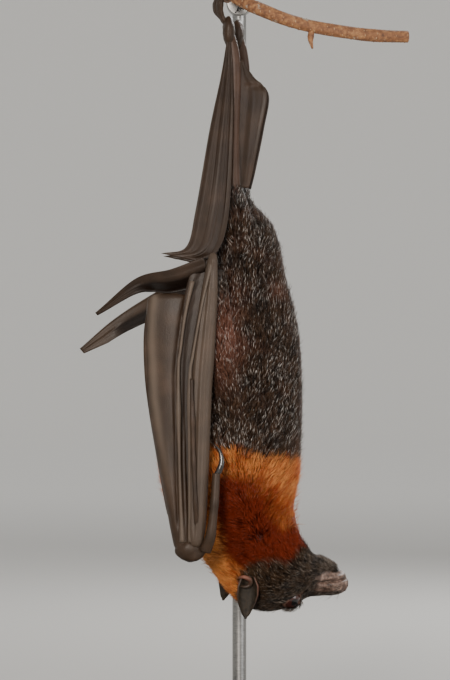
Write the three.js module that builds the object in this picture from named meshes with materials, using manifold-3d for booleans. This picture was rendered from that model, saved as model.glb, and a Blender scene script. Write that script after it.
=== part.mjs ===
// Life-size model of a flying fox (a large fruit bat) asleep upside down on a twig, held by a display stand.
// Millimetres. +Z is up, the belly and muzzle face +X, the animal's left side faces -Y.
// The origin is the centre of the stand base's underside.
import * as THREE from "three";
import { mergeVertices } from "three/addons/utils/BufferGeometryUtils.js";
import Module from "manifold-3d";

const wasm = await Module();
wasm.setup();

// ---- Driving dimensions ----
const gap = 0.35; // clearance between pieces that touch
const partingGap = 0.5; // width of the cuts that part the trunk, the head and the twig
const tidyTolerance = 0.1; // slivers that a cut leaves are smoothed away within this
const weldTolerance = 1e-3; // corners nearer than this are one corner
const base = { lengthX: 230, widthY: 200, height: 14, bevel: 2 };
const rod = { y: 88, radius: 4, top: 407 };
const clamp = { radius: 7.5, bottom: 403, top: 419 };
const twig = { radius: 3.5 };
const foot = { middleY: 12, toeRadius: 1.25, toePitch: 2.7, toes: 5 };
const headTurn = { yaw: 10, roll: 12, pivot: [8, 0, 86] };
const mouth = { cornerX: 41, cornerZ: 84.6, slopeDegrees: -2.5 };
const eye = { x: 26.8, y: 10.4, z: 76.2, radius: 5.6 };
const arm = { elbow: [-14.8, 43.5, 263], wrist: [-24.5, 41.5, 106] };
const membrane = {
  pleats: 3,
  thickness: 1.8,
  tipThickness: 1.4,
  tipFold: 1.2,
  flapThickness: 1.2,
  flapFollows: 0.25, // the share of a leg's own place in x that its flap of skin takes up
  bunch: 1.6,
  bunchThickness: 3,
};

// Trunk, neck and head in one run of cross-sections. Each spans from a point on the back to one on the belly,
// both in the middle plane, and is `side` wide each way. `turn` is its share of the head's turn.
const sections = [
  { name: "tail end", back: [-3, 306], belly: [3, 306.5], side: 4, turn: 0 },
  { name: "rump", back: [-9, 291], belly: [8, 293], side: 15, turn: 0 },
  { name: "hips", back: [-17, 272], belly: [20.5, 277], side: 25, turn: 0 },
  { name: "loins", back: [-27, 248], belly: [26.5, 252], side: 31, turn: 0 },
  { name: "belly", back: [-35, 222], belly: [33, 224], side: 34.5, turn: 0 },
  { name: "ribs", back: [-41, 194], belly: [35.2, 196], side: 36.5, turn: 0 },
  { name: "chest", back: [-45, 166], belly: [35, 168], side: 37, turn: 0 },
  { name: "shoulders", back: [-45, 142], belly: [34, 146], side: 36, turn: 0 },
  { name: "collar", back: [-38, 121], belly: [32, 128], side: 32, turn: 0 },
  { name: "neck", back: [-28, 105], belly: [33, 117.5], side: 27.5, turn: 0.1 },
  { name: "nape", back: [-19, 92], belly: [36, 110], side: 24, turn: 0.3 },
  { name: "occiput", back: [-10, 80], belly: [37.5, 106], side: 21.5, turn: 0.6 },
  { name: "crown", back: [0, 70.5], belly: [38.5, 103.5], side: 19.5, turn: 0.9 },
  { name: "ears", back: [11, 66.8], belly: [39.5, 101.5], side: 18, turn: 1 },
  { name: "temples", back: [21, 67.6], belly: [41, 99.8], side: 16.8, turn: 1 },
  { name: "eyes", back: [30, 70.3], belly: [43, 98.2], side: 14.6, turn: 1 },
  { name: "bridge", back: [38, 73.6], belly: [45.5, 96.8], side: 11.6, turn: 1 },
  { name: "muzzle", back: [46, 74.6], belly: [49, 95], side: 10, turn: 1 },
  { name: "lips", back: [53, 75], belly: [53.5, 92.3], side: 8.8, turn: 1 },
  { name: "nose", back: [58, 76.2], belly: [57.5, 88.8], side: 6.6, turn: 1 },
  { name: "nose tip", back: [60.8, 80], belly: [60.4, 85.5], side: 3, turn: 1 },
];
const trunkSides = 14;
const cuts = { rumpEnd: 2.6, bellyEnd: 5.1, chestEnd: 8, neckEnd: 11.2 }; // where the run is parted, in sections

const finish = {
  darkCoat: { color: 0x2a211e, roughness: 0.8 },
  mantle: { color: 0xa04c18, roughness: 0.85 },
  face: { color: 0x2e2522, roughness: 0.75 },
  ear: { color: 0x5a4640, roughness: 0.6 },
  eye: { color: 0x3a160c, roughness: 0.08 },
  wing: { color: 0x4e453f, roughness: 0.5 },
  claw: { color: 0x14110f, roughness: 0.25 },
  bark: { color: 0x8a5a3c, roughness: 0.85 },
  steel: { color: 0x8e8f92, roughness: 0.35, metalness: 1 },
  base: { color: 0x33302e, roughness: 0.5 },
};

// ---- Small helpers ----
const radians = THREE.MathUtils.degToRad;
const lerp = THREE.MathUtils.lerp;
const vector = (p) => new THREE.Vector3(...p);
const mirrored = ([x, y, z], side) => [x, side * y, z];
const xAxis = new THREE.Vector3(1, 0, 0);
const zAxis = new THREE.Vector3(0, 0, 1);

function curveThrough(points) {
  return new THREE.CatmullRomCurve3(points.map(vector), false, "catmullrom", 0.5);
}

// The value at share t of a row of numbers, evenly spaced from 0 to 1.
function along(values, t) {
  const s = THREE.MathUtils.clamp(t, 0, 1) * (values.length - 1);
  const i = Math.min(Math.floor(s), values.length - 2);
  return lerp(values[i], values[i + 1], s - i);
}

// Turns a point of the head about the top of the neck, by `share` of the whole turn.
function turnedHead(point, share) {
  const pivot = vector(headTurn.pivot);
  return point
    .clone()
    .sub(pivot)
    .applyAxisAngle(xAxis, radians(headTurn.roll) * share)
    .applyAxisAngle(zAxis, radians(headTurn.yaw) * share)
    .add(pivot);
}

// ---- Closed shapes ----
function geometryOf(points, index) {
  const geometry = new THREE.BufferGeometry();
  geometry.setAttribute("position", new THREE.Float32BufferAttribute(points.flatMap((p) => p.toArray()), 3));
  geometry.setIndex(index);
  return geometry;
}

// A closed skin over a row of rings with equal numbers of points, with a fan over each end.
function loft(rings) {
  const sides = rings[0].length;
  const points = rings.flat();
  const index = [];
  for (let i = 0; i < rings.length - 1; i++)
    for (let j = 0; j < sides; j++) {
      const a = i * sides + j;
      const b = i * sides + ((j + 1) % sides);
      index.push(a, b, a + sides, b, b + sides, a + sides);
    }
  for (const [ring, first, flip] of [[rings[0], 0, true], [rings.at(-1), (rings.length - 1) * sides, false]]) {
    const middle = ring.reduce((sum, p) => sum.add(p), new THREE.Vector3()).divideScalar(sides);
    points.push(middle);
    for (let j = 0; j < sides; j++) {
      const a = first + j;
      const b = first + ((j + 1) % sides);
      index.push(...(flip ? [b, a, points.length - 1] : [a, b, points.length - 1]));
    }
  }
  return geometryOf(points, index);
}

// A round limb along a curve, with radii evenly spaced from its start to its end.
function limb(path, radii, steps, sides) {
  const curve = curveThrough(path);
  const frames = curve.computeFrenetFrames(steps);
  const rings = [];
  for (let i = 0; i <= steps; i++) {
    const centre = curve.getPointAt(i / steps);
    const radius = along(radii, i / steps);
    const ring = [];
    for (let j = 0; j < sides; j++) {
      const angle = (j / sides) * 2 * Math.PI;
      ring.push(
        centre
          .clone()
          .addScaledVector(frames.normals[i], Math.cos(angle) * radius)
          .addScaledVector(frames.binormals[i], Math.sin(angle) * radius),
      );
    }
    rings.push(ring);
  }
  return loft(rings);
}

// A thin closed sheet: surface(u, v) gives its middle, and it is `thickness` thick across that.
function sheet(stepsU, stepsV, surface, thickness) {
  const points = [];
  const nudge = 1e-3;
  for (const side of [-0.5, 0.5])
    for (let i = 0; i <= stepsU; i++)
      for (let j = 0; j <= stepsV; j++) {
        const u = i / stepsU;
        const v = j / stepsV;
        const du = surface(Math.min(u + nudge, 1), v).sub(surface(Math.max(u - nudge, 0), v));
        const dv = surface(u, Math.min(v + nudge, 1)).sub(surface(u, Math.max(v - nudge, 0)));
        points.push(surface(u, v).addScaledVector(du.cross(dv).normalize(), side * thickness));
      }
  const row = stepsV + 1;
  const layer = row * (stepsU + 1);
  const index = [];
  for (let i = 0; i < stepsU; i++)
    for (let j = 0; j < stepsV; j++) {
      const a = i * row + j;
      index.push(a, a + row, a + 1, a + 1, a + row, a + row + 1);
      index.push(a + layer, a + layer + 1, a + layer + row, a + layer + 1, a + layer + row + 1, a + layer + row);
    }
  const rim = [];
  for (let j = 0; j < stepsV; j++) rim.push(j);
  for (let i = 0; i < stepsU; i++) rim.push(i * row + stepsV);
  for (let j = stepsV; j > 0; j--) rim.push(stepsU * row + j);
  for (let i = stepsU; i > 0; i--) rim.push(i * row);
  rim.forEach((a, k) => {
    const b = rim[(k + 1) % rim.length];
    index.push(a, b, a + layer, b, b + layer, a + layer);
  });
  return geometryOf(points, index);
}

// An egg with the given half-sizes.
function egg(centre, [rx, ry, rz], across = 10, down = 6) {
  return new THREE.SphereGeometry(1, across, down).scale(rx, ry, rz).translate(...centre);
}

// ---- Solids: what is placed first keeps its shape, and what comes later is cut back from it ----
function mergedPositions(geometry) {
  const bare = new THREE.BufferGeometry().setAttribute("position", geometry.getAttribute("position").clone());
  if (geometry.index) bare.setIndex(geometry.index.clone());
  return mergeVertices(bare, weldTolerance);
}

function signedVolume(geometry) {
  const p = geometry.attributes.position;
  const [a, b, c] = [new THREE.Vector3(), new THREE.Vector3(), new THREE.Vector3()];
  let sum = 0;
  for (let i = 0; i < geometry.index.count; i += 3) {
    [a, b, c].forEach((v, k) => v.fromBufferAttribute(p, geometry.index.getX(i + k)));
    sum += a.dot(b.cross(c)) / 6;
  }
  return sum;
}

// A manifold solid, its faces turned outwards, grown by `grow` along its corners' normals.
function solidOf(geometry, grow = 0) {
  const merged = mergedPositions(geometry);
  const triVerts = new Uint32Array(merged.index.array).filter((_, i, all) => {
    const t = i - (i % 3);
    return all[t] !== all[t + 1] && all[t + 1] !== all[t + 2] && all[t] !== all[t + 2];
  });
  merged.setIndex([...triVerts]);
  if (signedVolume(merged) < 0)
    for (let i = 0; i < triVerts.length; i += 3)
      [triVerts[i + 1], triVerts[i + 2]] = [triVerts[i + 2], triVerts[i + 1]];
  merged.setIndex([...triVerts]);
  merged.computeVertexNormals();
  const vertProperties = merged.attributes.position.array.map(
    (x, i) => x + grow * merged.attributes.normal.array[i],
  );
  return new wasm.Manifold(new wasm.Mesh({ numProp: 3, vertProperties, triVerts }));
}

function geometryFromSolid(solid) {
  const mesh = solid.getMesh();
  const positions = new Float32Array(mesh.numVert * 3);
  for (let i = 0; i < mesh.numVert; i++)
    positions.set(mesh.vertProperties.subarray(i * mesh.numProp, i * mesh.numProp + 3), i * 3);
  const geometry = new THREE.BufferGeometry();
  geometry.setAttribute("position", new THREE.BufferAttribute(positions, 3));
  geometry.setIndex(new THREE.BufferAttribute(new Uint32Array(mesh.triVerts), 1));
  geometry.computeVertexNormals();
  return geometry;
}

const model = new THREE.Group();
const placed = [];

function boxesMeet(a, b) {
  return [0, 1, 2].every((k) => a.min[k] < b.max[k] && b.min[k] < a.max[k]);
}

function largestPiece(solid) {
  return solid.decompose().reduce((best, s) => (s.volume() > best.volume() ? s : best));
}

function cutBack(solid, others) {
  const meets = (other) => boxesMeet(solid.boundingBox(), other.boundingBox());
  return largestPiece(others.filter(meets).reduce((rest, other) => rest.subtract(other), solid));
}

// Adds a named mesh, cut back by `gap` from all that is already there. Only its largest piece is kept. The second
// cut takes off what the smoothing of slivers may have moved into a neighbour.
function place(name, look, solid) {
  const cleared = cutBack(solid, placed.map((p) => p.grown)).simplify(tidyTolerance);
  const geometry = geometryFromSolid(cutBack(cleared, placed.map((p) => p.exact)));
  const mesh = new THREE.Mesh(geometry, new THREE.MeshStandardMaterial(finish[look]));
  mesh.name = name;
  model.add(mesh);
  placed.push({ exact: solidOf(geometry), grown: solidOf(geometry, gap) });
}

// ---- The stand and the twig ----
function buildStand() {
  const outline = new THREE.Shape().absellipse(
    0, 0, base.lengthX / 2 - base.bevel, base.widthY / 2 - base.bevel, 0, 2 * Math.PI, false, 0,
  );
  const plate = new THREE.ExtrudeGeometry(outline, {
    depth: base.height - 2 * base.bevel,
    bevelThickness: base.bevel,
    bevelSize: base.bevel,
    bevelSegments: 1,
    curveSegments: 12,
  }).translate(0, 0, base.bevel);
  place("stand_base", "base", solidOf(plate));
  const rodLength = rod.top - base.height - gap;
  const post = new THREE.CylinderGeometry(rod.radius, rod.radius, rodLength, 16)
    .rotateX(Math.PI / 2)
    .translate(0, rod.y, base.height + gap + rodLength / 2);
  place("stand_rod", "steel", solidOf(post));
}

// The twig comes from the rod behind, passes under the feet, and bends round to the animal's front.
const twigRoute = [
  [0, 96, 413], [0, 88, 413.5], [-5, 60, 413], [-7.5, 30, 410], [-6, 0, 408], [-4.5, -16, 407], [1, -27, 403],
  [14, -35, 396.5], [32, -37, 390], [55, -35, 385.5], [76, -32, 383.5], [92, -29, 383.2],
];
const twigSwell = [0.98, 1.06, 0.97, 1.08, 1, 1.05, 0.96, 1.02, 0.93];
const twigPoints = curveThrough(twigRoute).getSpacedPoints(300);

// The twig's centre where it crosses the given y, between the two feet and beside them.
function twigCentre(y) {
  return twigPoints.reduce((best, p) => (Math.abs(p.y - y) < Math.abs(best.y - y) ? p : best));
}

function buildTwig() {
  // The two lengths part in a thin straight cut between the feet, made with a block on each side of it.
  const whole = solidOf(limb(twigRoute, twigSwell.map((share) => share * twig.radius), 28, 8));
  const block = 400;
  const behind = (block + partingGap) / 2;
  const blockAt = (y) => solidOf(new THREE.BoxGeometry(block, block, block).translate(0, y, block));
  place("perch_rear", "bark", whole.intersect(blockAt(behind)));
  place("perch_front", "bark", whole.intersect(blockAt(-behind)));
  const bud = limb([[39, -37, 386], [38.5, -37.5, 381], [39.5, -38, 376]], [1.6, 1.9, 1.2, 0.5], 4, 6);
  place("perch_bud", "bark", solidOf(bud));
  const collar = new THREE.CylinderGeometry(clamp.radius, clamp.radius, clamp.top - clamp.bottom, 12)
    .rotateX(Math.PI / 2)
    .translate(0, rod.y, (clamp.top + clamp.bottom) / 2);
  place("stand_clamp", "steel", solidOf(collar));
}

// ---- Trunk, neck and head ----
const backLine = curveThrough(sections.map((s) => [s.back[0], 0, s.back[1]]));
const bellyLine = curveThrough(sections.map((s) => [s.belly[0], 0, s.belly[1]]));
const sideLine = curveThrough(sections.map((s) => [s.side, s.turn, 0]));

// The ring of the trunk at section number s, moved by `shift` towards the head.
function trunkRing(s, shift = 0) {
  const t = s / (sections.length - 1);
  const back = backLine.getPoint(t);
  const belly = bellyLine.getPoint(t);
  const { x: side, y: turn } = sideLine.getPoint(t);
  const centre = back.clone().add(belly).multiplyScalar(0.5);
  const across = belly.clone().sub(back);
  const half = across.length() / 2;
  across.normalize();
  centre.addScaledVector(new THREE.Vector3(across.z, 0, -across.x), shift);
  const ring = [];
  for (let j = 0; j < trunkSides; j++) {
    const angle = (j / trunkSides) * 2 * Math.PI;
    const point = centre.clone().addScaledVector(across, Math.cos(angle) * half);
    point.y += Math.sin(angle) * side;
    ring.push(turnedHead(point, turn));
  }
  return ring;
}

// A length of the trunk between two section numbers, shortened by half a parting cut at each end that is cut.
function trunkLength(from, to, steps) {
  const shifts = Array(steps + 1).fill(0);
  if (from > 0) shifts[0] = partingGap / 2;
  if (to < sections.length - 1) shifts[steps] = -partingGap / 2;
  return solidOf(loft(shifts.map((shift, i) => trunkRing(lerp(from, to, i / steps), shift))));
}

// The space above the line of the mouth, from its corner forwards.
function mouthSpace(margin) {
  const size = 60; // larger than the muzzle every way
  const room = new THREE.BoxGeometry(size, size, size)
    .translate(size / 2 - margin, 0, size / 2 - margin)
    .rotateY(radians(mouth.slopeDegrees))
    .translate(mouth.cornerX, 0, mouth.cornerZ);
  const p = room.attributes.position;
  for (let i = 0; i < p.count; i++) {
    const turned = turnedHead(new THREE.Vector3().fromBufferAttribute(p, i), 1);
    p.setXYZ(i, turned.x, turned.y, turned.z);
  }
  return solidOf(room);
}

function buildBody() {
  for (const [name, side] of [["eye_left", -1], ["eye_right", 1]]) {
    const centre = turnedHead(new THREE.Vector3(eye.x, side * eye.y, eye.z), 1);
    place(name, "eye", solidOf(egg(centre.toArray(), [eye.radius, eye.radius, eye.radius])));
  }
  place("rump", "darkCoat", trunkLength(0, cuts.rumpEnd, 5));
  place("belly", "darkCoat", trunkLength(cuts.rumpEnd, cuts.bellyEnd, 4));
  place("chest", "darkCoat", trunkLength(cuts.bellyEnd, cuts.chestEnd, 5));
  place("neck", "mantle", trunkLength(cuts.chestEnd, cuts.neckEnd, 6));
  const wholeHead = trunkLength(cuts.neckEnd, sections.length - 1, 11);
  place("head", "face", wholeHead.subtract(mouthSpace(partingGap)));
  place("jaw", "face", wholeHead.intersect(mouthSpace(0)));
}

// ---- Ears: a leaf rolled lengthwise, open towards the front and side ----
const ear = {
  root: [0.6, 17.3, 91],
  tip: [0.4, 19.5, 67],
  width: [7, 11, 11.5, 9.5, 5.5, 1.6],
  curlDegrees: 150,
  rootCurl: 1.15, // the curl at the root and at the tip, as shares of curlDegrees
  tipCurl: 0.5,
  thickness: 1.1,
  farBack: -6, // how much further back the far ear's tip leans
};

function earGeometry(side) {
  const setBack = side > 0 ? ear.farBack : 0;
  const surface = (u, v) => {
    const width = along(ear.width, u);
    const curl = radians(ear.curlDegrees) * lerp(ear.rootCurl, ear.tipCurl, THREE.MathUtils.clamp(u, 0, 1));
    const angle = (v - 0.5) * curl;
    const radius = width / (2 * Math.sin(Math.min(curl, Math.PI) / 2));
    const point = vector([
      lerp(ear.root[0], ear.tip[0], u) + radius * Math.sin(angle) + setBack * u,
      side * (lerp(ear.root[1], ear.tip[1], u) + radius * (1 - Math.cos(angle))),
      lerp(ear.root[2], ear.tip[2], u),
    ]);
    return turnedHead(point, 1);
  };
  return sheet(6, 6, surface, ear.thickness);
}

// ---- Hind legs, feet and the small skin between the legs ----
function legX(side) {
  return side > 0 ? 5 : 0; // the far leg hangs a little nearer the belly
}

function thighGeometry(side) {
  const path = [[1, side * 16, 266], [-2, side * 21, 282], [legX(side) - 4, side * 20, 298]];
  return limb(path, [11, 10, 7.5, 5.2], 5, 10);
}

function shinGeometry(side) {
  const x = legX(side);
  const path = [[x - 4, side * 19.5, 300], [x - 3.8, side * 17, 330], [x - 2.5, side * 13.5, 362]];
  return limb(path, [4.6, 3.8, 3, 2.9, 3.2], 6, 8);
}

// One toe: up the back of the twig, over it and down the front, ending in a hooked claw.
function toeGeometry(y, rootX, rootY) {
  const wrap = twig.radius + foot.toeRadius + 1.5;
  const { x, z } = twigCentre(y);
  const path = [[rootX - 0.5, rootY, 391], [x - wrap - 0.8, lerp(rootY, y, 0.6), z - 9]];
  for (const degrees of [180, 140, 100, 60, 20]) {
    const a = radians(degrees);
    path.push([x + wrap * Math.cos(a), y, z + wrap * Math.sin(a)]);
  }
  path.push([x + wrap + 1.6, y, z - 1.5], [x + wrap + 1.6, y, z - 5.5], [x + wrap - 0.8, y, z - 9.5]);
  const t = foot.toeRadius;
  return limb(path, [t * 1.2, t * 1.1, t, t * 1.05, t, t * 1.05, t, t * 0.95, t * 0.75, 0.35], 6, 4);
}

function footSolid(side) {
  const x = legX(side);
  const middle = side * foot.middleY;
  const root = [x - 6.5, side * 12.2, 391];
  const sole = limb([[x - 2.4, side * 13.3, 363], [x - 4, side * 12.6, 376], root], [3.2, 3.6, 4.6, 4.9], 4, 7);
  let whole = solidOf(sole).add(solidOf(egg(root, [4.4, 7.4, 5], 8, 5)));
  for (let i = 0; i < foot.toes; i++) {
    const offset = (i - (foot.toes - 1) / 2) * foot.toePitch;
    whole = whole.add(solidOf(toeGeometry(middle + offset, root[0], middle + offset * 0.8)));
  }
  return whole;
}

// Skin from the inside of the leg to the tip of the heel spur and down to the rump.
function tailMembraneGeometry(side) {
  const x = legX(side) * membrane.flapFollows;
  const free = curveThrough([
    [x + 0.5, side * 12, 372], [x + 7, side * 10, 363], [x + 14.8, side * 7, 353.5], [x + 12, side * 7, 335],
    [x + 7.2, side * 8, 312], [x + 4.6, side * 9, 301],
  ]);
  const leg = curveThrough([
    [x + 0.2, side * 13, 371], [x - 0.8, side * 13.4, 363], [x - 1, side * 14, 353], [x - 1, side * 15, 335],
    [x - 1, side * 15, 312], [x - 1, side * 13, 301],
  ]);
  const surface = (u, v) => leg.getPoint(u).lerp(free.getPoint(u), v);
  return sheet(7, 2, surface, membrane.flapThickness);
}

// ---- Wings ----
// Each folded wing's tip sticks out behind the back: its upper edge, and how deep it hangs below that.
const wingTip = {
  left: {
    edge: [[-20, 46, 262], [-37.5, 42, 255.5], [-57, 35, 250.5], [-79, 29, 231.6]],
    width: [12, 11, 9.5, 8, 5, 1.2],
  },
  right: {
    edge: [[-22, 46, 258], [-51, 33, 241.5], [-72, 28, 227.5], [-89.5, 25, 212]],
    width: [13, 14, 12.5, 10, 8, 3.2],
  },
};

function upperArmGeometry(side) {
  const path = [[2, side * 22, 150], [-8.5, side * 34, 200], [-12.5, side * 38.5, 255]];
  return limb(path, [11, 9.5, 8, 6.5, 4.8], 5, 8);
}

function forearmGeometry(side) {
  const path = [
    mirrored(arm.elbow, side), [-17, side * 45, 235], [-21, side * 45.5, 185], [-23.5, side * 43.5, 135],
    mirrored(arm.wrist, side),
  ];
  return limb(path, [3.4, 5.2, 5.8, 5.6, 5.2, 4.9, 4.6, 4.8, 5], 9, 8);
}


function handGeometry(side) {
  return egg([-27, side * 40.5, 102.8], [9, 6.6, 7.2]);
}

function thumbGeometry(side) {
  const path = [[-19.5, side * 44.5, 102.5], [-16, side * 48, 111], [-14, side * 49, 128], [-13, side * 48.5, 144]];
  return limb(path, [3.6, 3.1, 2.6, 2.5, 2.3, 2.2], 6, 7);
}

function thumbClawGeometry(side) {
  const path = [
    [-12.9, side * 48.5, 144.6], [-10.4, side * 48.7, 147.5], [-9.8, side * 48.6, 151.5], [-11.2, side * 48, 156.5],
    [-14.6, side * 47, 161],
  ];
  return limb(path, [1.9, 1.8, 1.5, 1.1, 0.6, 0.3], 6, 5);
}

const fingers = {
  finger_2: {
    path: [[-23, 45, 106], [-24.4, 50, 130], [-25.6, 51, 160], [-26.4, 50.8, 196]],
    radii: [1.5, 1.3, 1.2, 1.3, 0.8],
  },
  finger_3: {
    path: [
      [-27, 45.5, 107], [-27.5, 48.2, 150], [-27.4, 49, 195], [-25.7, 49.2, 209], [-20.4, 49.2, 238],
      [-15.6, 47, 258],
    ],
    radii: [1.9, 1.5, 1.3, 1.3, 1.8, 1.3, 1.2, 1.5],
  },
  finger_4: {
    path: [
      [-31.5, 44.6, 107], [-33, 46.4, 150], [-33.6, 46.6, 199], [-32.4, 46.6, 212], [-30, 46.6, 230],
      [-26.4, 45.8, 247],
    ],
    radii: [1.9, 1.4, 1.3, 1.3, 1.9, 1.4, 1.2, 1.7],
  },
};

// The folded skin of the hand: flat rings from the wrist up to the loose upper edge.
const handFold = [
  { z: 101, left: -35.5, right: -25, thick: 7 },
  { z: 116, left: -38.6, right: -27, thick: 8 },
  { z: 132, left: -41.5, right: -28, thick: 8.5 },
  { z: 160, left: -46.9, right: -28.5, thick: 8.5 },
  { z: 186, left: -51.2, right: -28.5, thick: 8.5 },
  { z: 217, left: -52.8, right: -28.5, thick: 8.5 },
  { z: 237, left: -51.4, right: -28.5, thick: 7.5 },
  { z: 244.5, left: -47.5, right: -30, thick: 5 },
];

function handMembraneGeometry(side) {
  const sizes = curveThrough(handFold.map((f) => [f.left, f.right, f.thick]));
  const heights = handFold.map((f) => f.z);
  const inward = 0.3; // the outer edge leans towards the back's middle
  const flatness = 0.7; // a power that squares the rings' corners up
  const [steps, sides] = [7, 9];
  const rings = [];
  for (let i = 0; i <= steps; i++) {
    const { x: left, y: right, z: thick } = sizes.getPoint(i / steps);
    const ring = [];
    for (let j = 0; j < sides; j++) {
      const angle = (j / sides) * 2 * Math.PI;
      const x = (left + right) / 2 + ((right - left) / 2) * Math.cos(angle);
      const squared = Math.sign(Math.sin(angle)) * Math.abs(Math.sin(angle)) ** flatness;
      ring.push(vector([x, side * (42 + inward * (x - right)) + (thick / 2) * squared, along(heights, i / steps)]));
    }
    rings.push(ring);
  }
  return loft(rings);
}

// The pleated skin that hangs from the foot and shin down to the elbow, along the side of the rump, and ends in a
// small point behind the elbow.
function armMembraneGeometry(side) {
  const edge = curveThrough([
    [-8.8, side * 17.5, 384], [-10, side * 18, 363], [-16.5, side * 24, 332], [-24.2, side * 34, 288],
    [-29.3, side * 39.5, 268], [-42.9, side * 41, 264.2],
  ]);
  const root = curveThrough([
    [-4.5, side * 19, 384], [-4, side * 19, 363], [-4, side * 24, 332], [-6, side * 31, 288],
    [-12, side * 38, 266], [-24, side * 40.5, 260],
  ]);
  const surface = (u, v) => {
    const depth = lerp(0.3, 1.4, Math.sin(u * Math.PI)) * Math.cos(v * membrane.pleats * 2 * Math.PI);
    const point = edge.getPoint(u).lerp(root.getPoint(u), v);
    return point.add(vector([0, side * depth, 0]));
  };
  return sheet(6, 9, surface, membrane.thickness);
}

// The bunched skin between the flank and the forearm.
function sideMembraneGeometry(side) {
  const flank = curveThrough([
    [-19, side * 26, 236], [-21, side * 32.5, 194], [-21, side * 33, 166], [-20, side * 31.5, 132],
  ]);
  const forearm = curveThrough([
    [-20, side * 41, 236], [-22, side * 42, 194], [-23, side * 41, 166], [-23.5, side * 40, 132],
  ]);
  const surface = (u, v) => {
    const bulge = membrane.bunch * Math.sin(v * 2 * Math.PI);
    return flank.getPoint(u).lerp(forearm.getPoint(u), v).add(vector([bulge, 0, 0]));
  };
  return sheet(4, 3, surface, membrane.bunchThickness);
}

// The last finger bones with their skin: a long blade that points out behind the back.
function wingTipGeometry(side) {
  const shape = side < 0 ? wingTip.left : wingTip.right;
  const edge = curveThrough(shape.edge.map((p) => mirrored(p, side)));
  const surface = (u, v) => {
    const tangent = edge.getTangent(u);
    const down = new THREE.Vector3(-tangent.z, 0, tangent.x).normalize();
    const fold = vector([0, side * Math.sin(v * Math.PI) * membrane.tipFold, 0]);
    return edge.getPoint(u).addScaledVector(down, v * along(shape.width, u)).add(fold);
  };
  return sheet(7, 3, surface, membrane.tipThickness);
}

function buildSide(name, side) {
  place(`thigh_${name}`, "darkCoat", solidOf(thighGeometry(side)));
  place(`foot_${name}`, "wing", footSolid(side));
  place(`shin_${name}`, "wing", solidOf(shinGeometry(side)));
  place(`hand_${name}`, "wing", solidOf(handGeometry(side)));
  place(`upper_arm_${name}`, "darkCoat", solidOf(upperArmGeometry(side)));
  place(`forearm_${name}`, "wing", solidOf(forearmGeometry(side)));
  place(`thumb_${name}`, "wing", solidOf(thumbGeometry(side)));
  place(`thumb_claw_${name}`, "claw", solidOf(thumbClawGeometry(side)));
  for (const [finger, { path, radii }] of Object.entries(fingers)) {
    const bone = limb(path.map((p) => mirrored(p, side)), radii, 9, 5);
    place(`${finger}_${name}`, "wing", solidOf(bone));
  }
  place(`hand_membrane_${name}`, "wing", solidOf(handMembraneGeometry(side)));
  place(`arm_membrane_${name}`, "wing", solidOf(armMembraneGeometry(side)));
  place(`side_membrane_${name}`, "wing", solidOf(sideMembraneGeometry(side)));
  place(`wing_tip_${name}`, "wing", solidOf(wingTipGeometry(side)));
  place(`tail_membrane_${name}`, "wing", solidOf(tailMembraneGeometry(side)));
  place(`ear_${name}`, "ear", solidOf(earGeometry(side)));
}

buildStand();
buildTwig();
buildBody();
buildSide("left", -1);
buildSide("right", 1);

export default model;
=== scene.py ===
import math
import bpy
import mathutils
import numpy as np
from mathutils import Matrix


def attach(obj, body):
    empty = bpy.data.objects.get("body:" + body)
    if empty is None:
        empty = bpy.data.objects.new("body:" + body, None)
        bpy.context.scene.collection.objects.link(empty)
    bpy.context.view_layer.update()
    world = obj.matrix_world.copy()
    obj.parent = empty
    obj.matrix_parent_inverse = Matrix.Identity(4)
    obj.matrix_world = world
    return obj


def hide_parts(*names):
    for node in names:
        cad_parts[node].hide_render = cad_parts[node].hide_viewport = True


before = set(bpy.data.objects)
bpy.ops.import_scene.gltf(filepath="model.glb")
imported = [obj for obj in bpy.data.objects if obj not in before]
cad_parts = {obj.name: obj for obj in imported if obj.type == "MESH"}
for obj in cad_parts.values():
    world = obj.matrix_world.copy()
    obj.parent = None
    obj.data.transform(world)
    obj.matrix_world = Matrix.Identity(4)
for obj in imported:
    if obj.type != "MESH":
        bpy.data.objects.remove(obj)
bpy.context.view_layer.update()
mm = 0.001

# Lengths below are millimetres in the frame's axes; meshes are made in metres.
# The bat hangs head down: +X is its belly and muzzle, -Y its left side, so side -1 is left and +1 right.


# Small maths.

def unit(v):
    return v / np.maximum(np.linalg.norm(v, axis=-1, keepdims=True), 1e-9)


def smooth(low, high, x):
    t = np.clip((x - low) / (high - low), 0, 1)
    return t * t * (3 - 2 * t)


def curveAt(points, t):
    # a smooth curve through points that are evenly spaced over t from 0 to 1
    p = np.asarray(points, float)
    padded = np.vstack([2 * p[0] - p[1], p, 2 * p[-1] - p[-2]])
    s = np.clip(t, 0, 1) * (len(p) - 1)
    i = np.minimum(s.astype(int), len(p) - 2)
    f = (s - i)[..., None]
    a, b, c, d = (padded[i + k] for k in range(4))
    startSlope, endSlope = (c - a) / 2, (d - b) / 2
    cubic = (2 * b - 2 * c + startSlope + endSlope) * f**3
    return cubic + (3 * c - 3 * b - 2 * startSlope - endSlope) * f**2 + startSlope * f + b


def softNoise(p, size, seed):
    # about -1 to 1, with lumps about `size` across, from a few crossed waves
    rng = np.random.default_rng(seed)
    total = np.zeros(p.shape[:-1])
    for _ in range(9):
        way = unit(rng.normal(size=3)) * 2 * math.pi / (size * rng.uniform(1.2, 3.2))
        total += np.sin(p @ way + rng.uniform(0, 2 * math.pi))
    return total / 4


def ridge(x, at, width):
    # 1 where x is at that value, and falling off over the width
    return np.exp(-((x - at) / width) ** 2)


def bump(p, centre, radius):
    away = (p - np.asarray(centre)) / np.asarray(radius)
    return np.exp(-(away**2).sum(-1))


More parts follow.
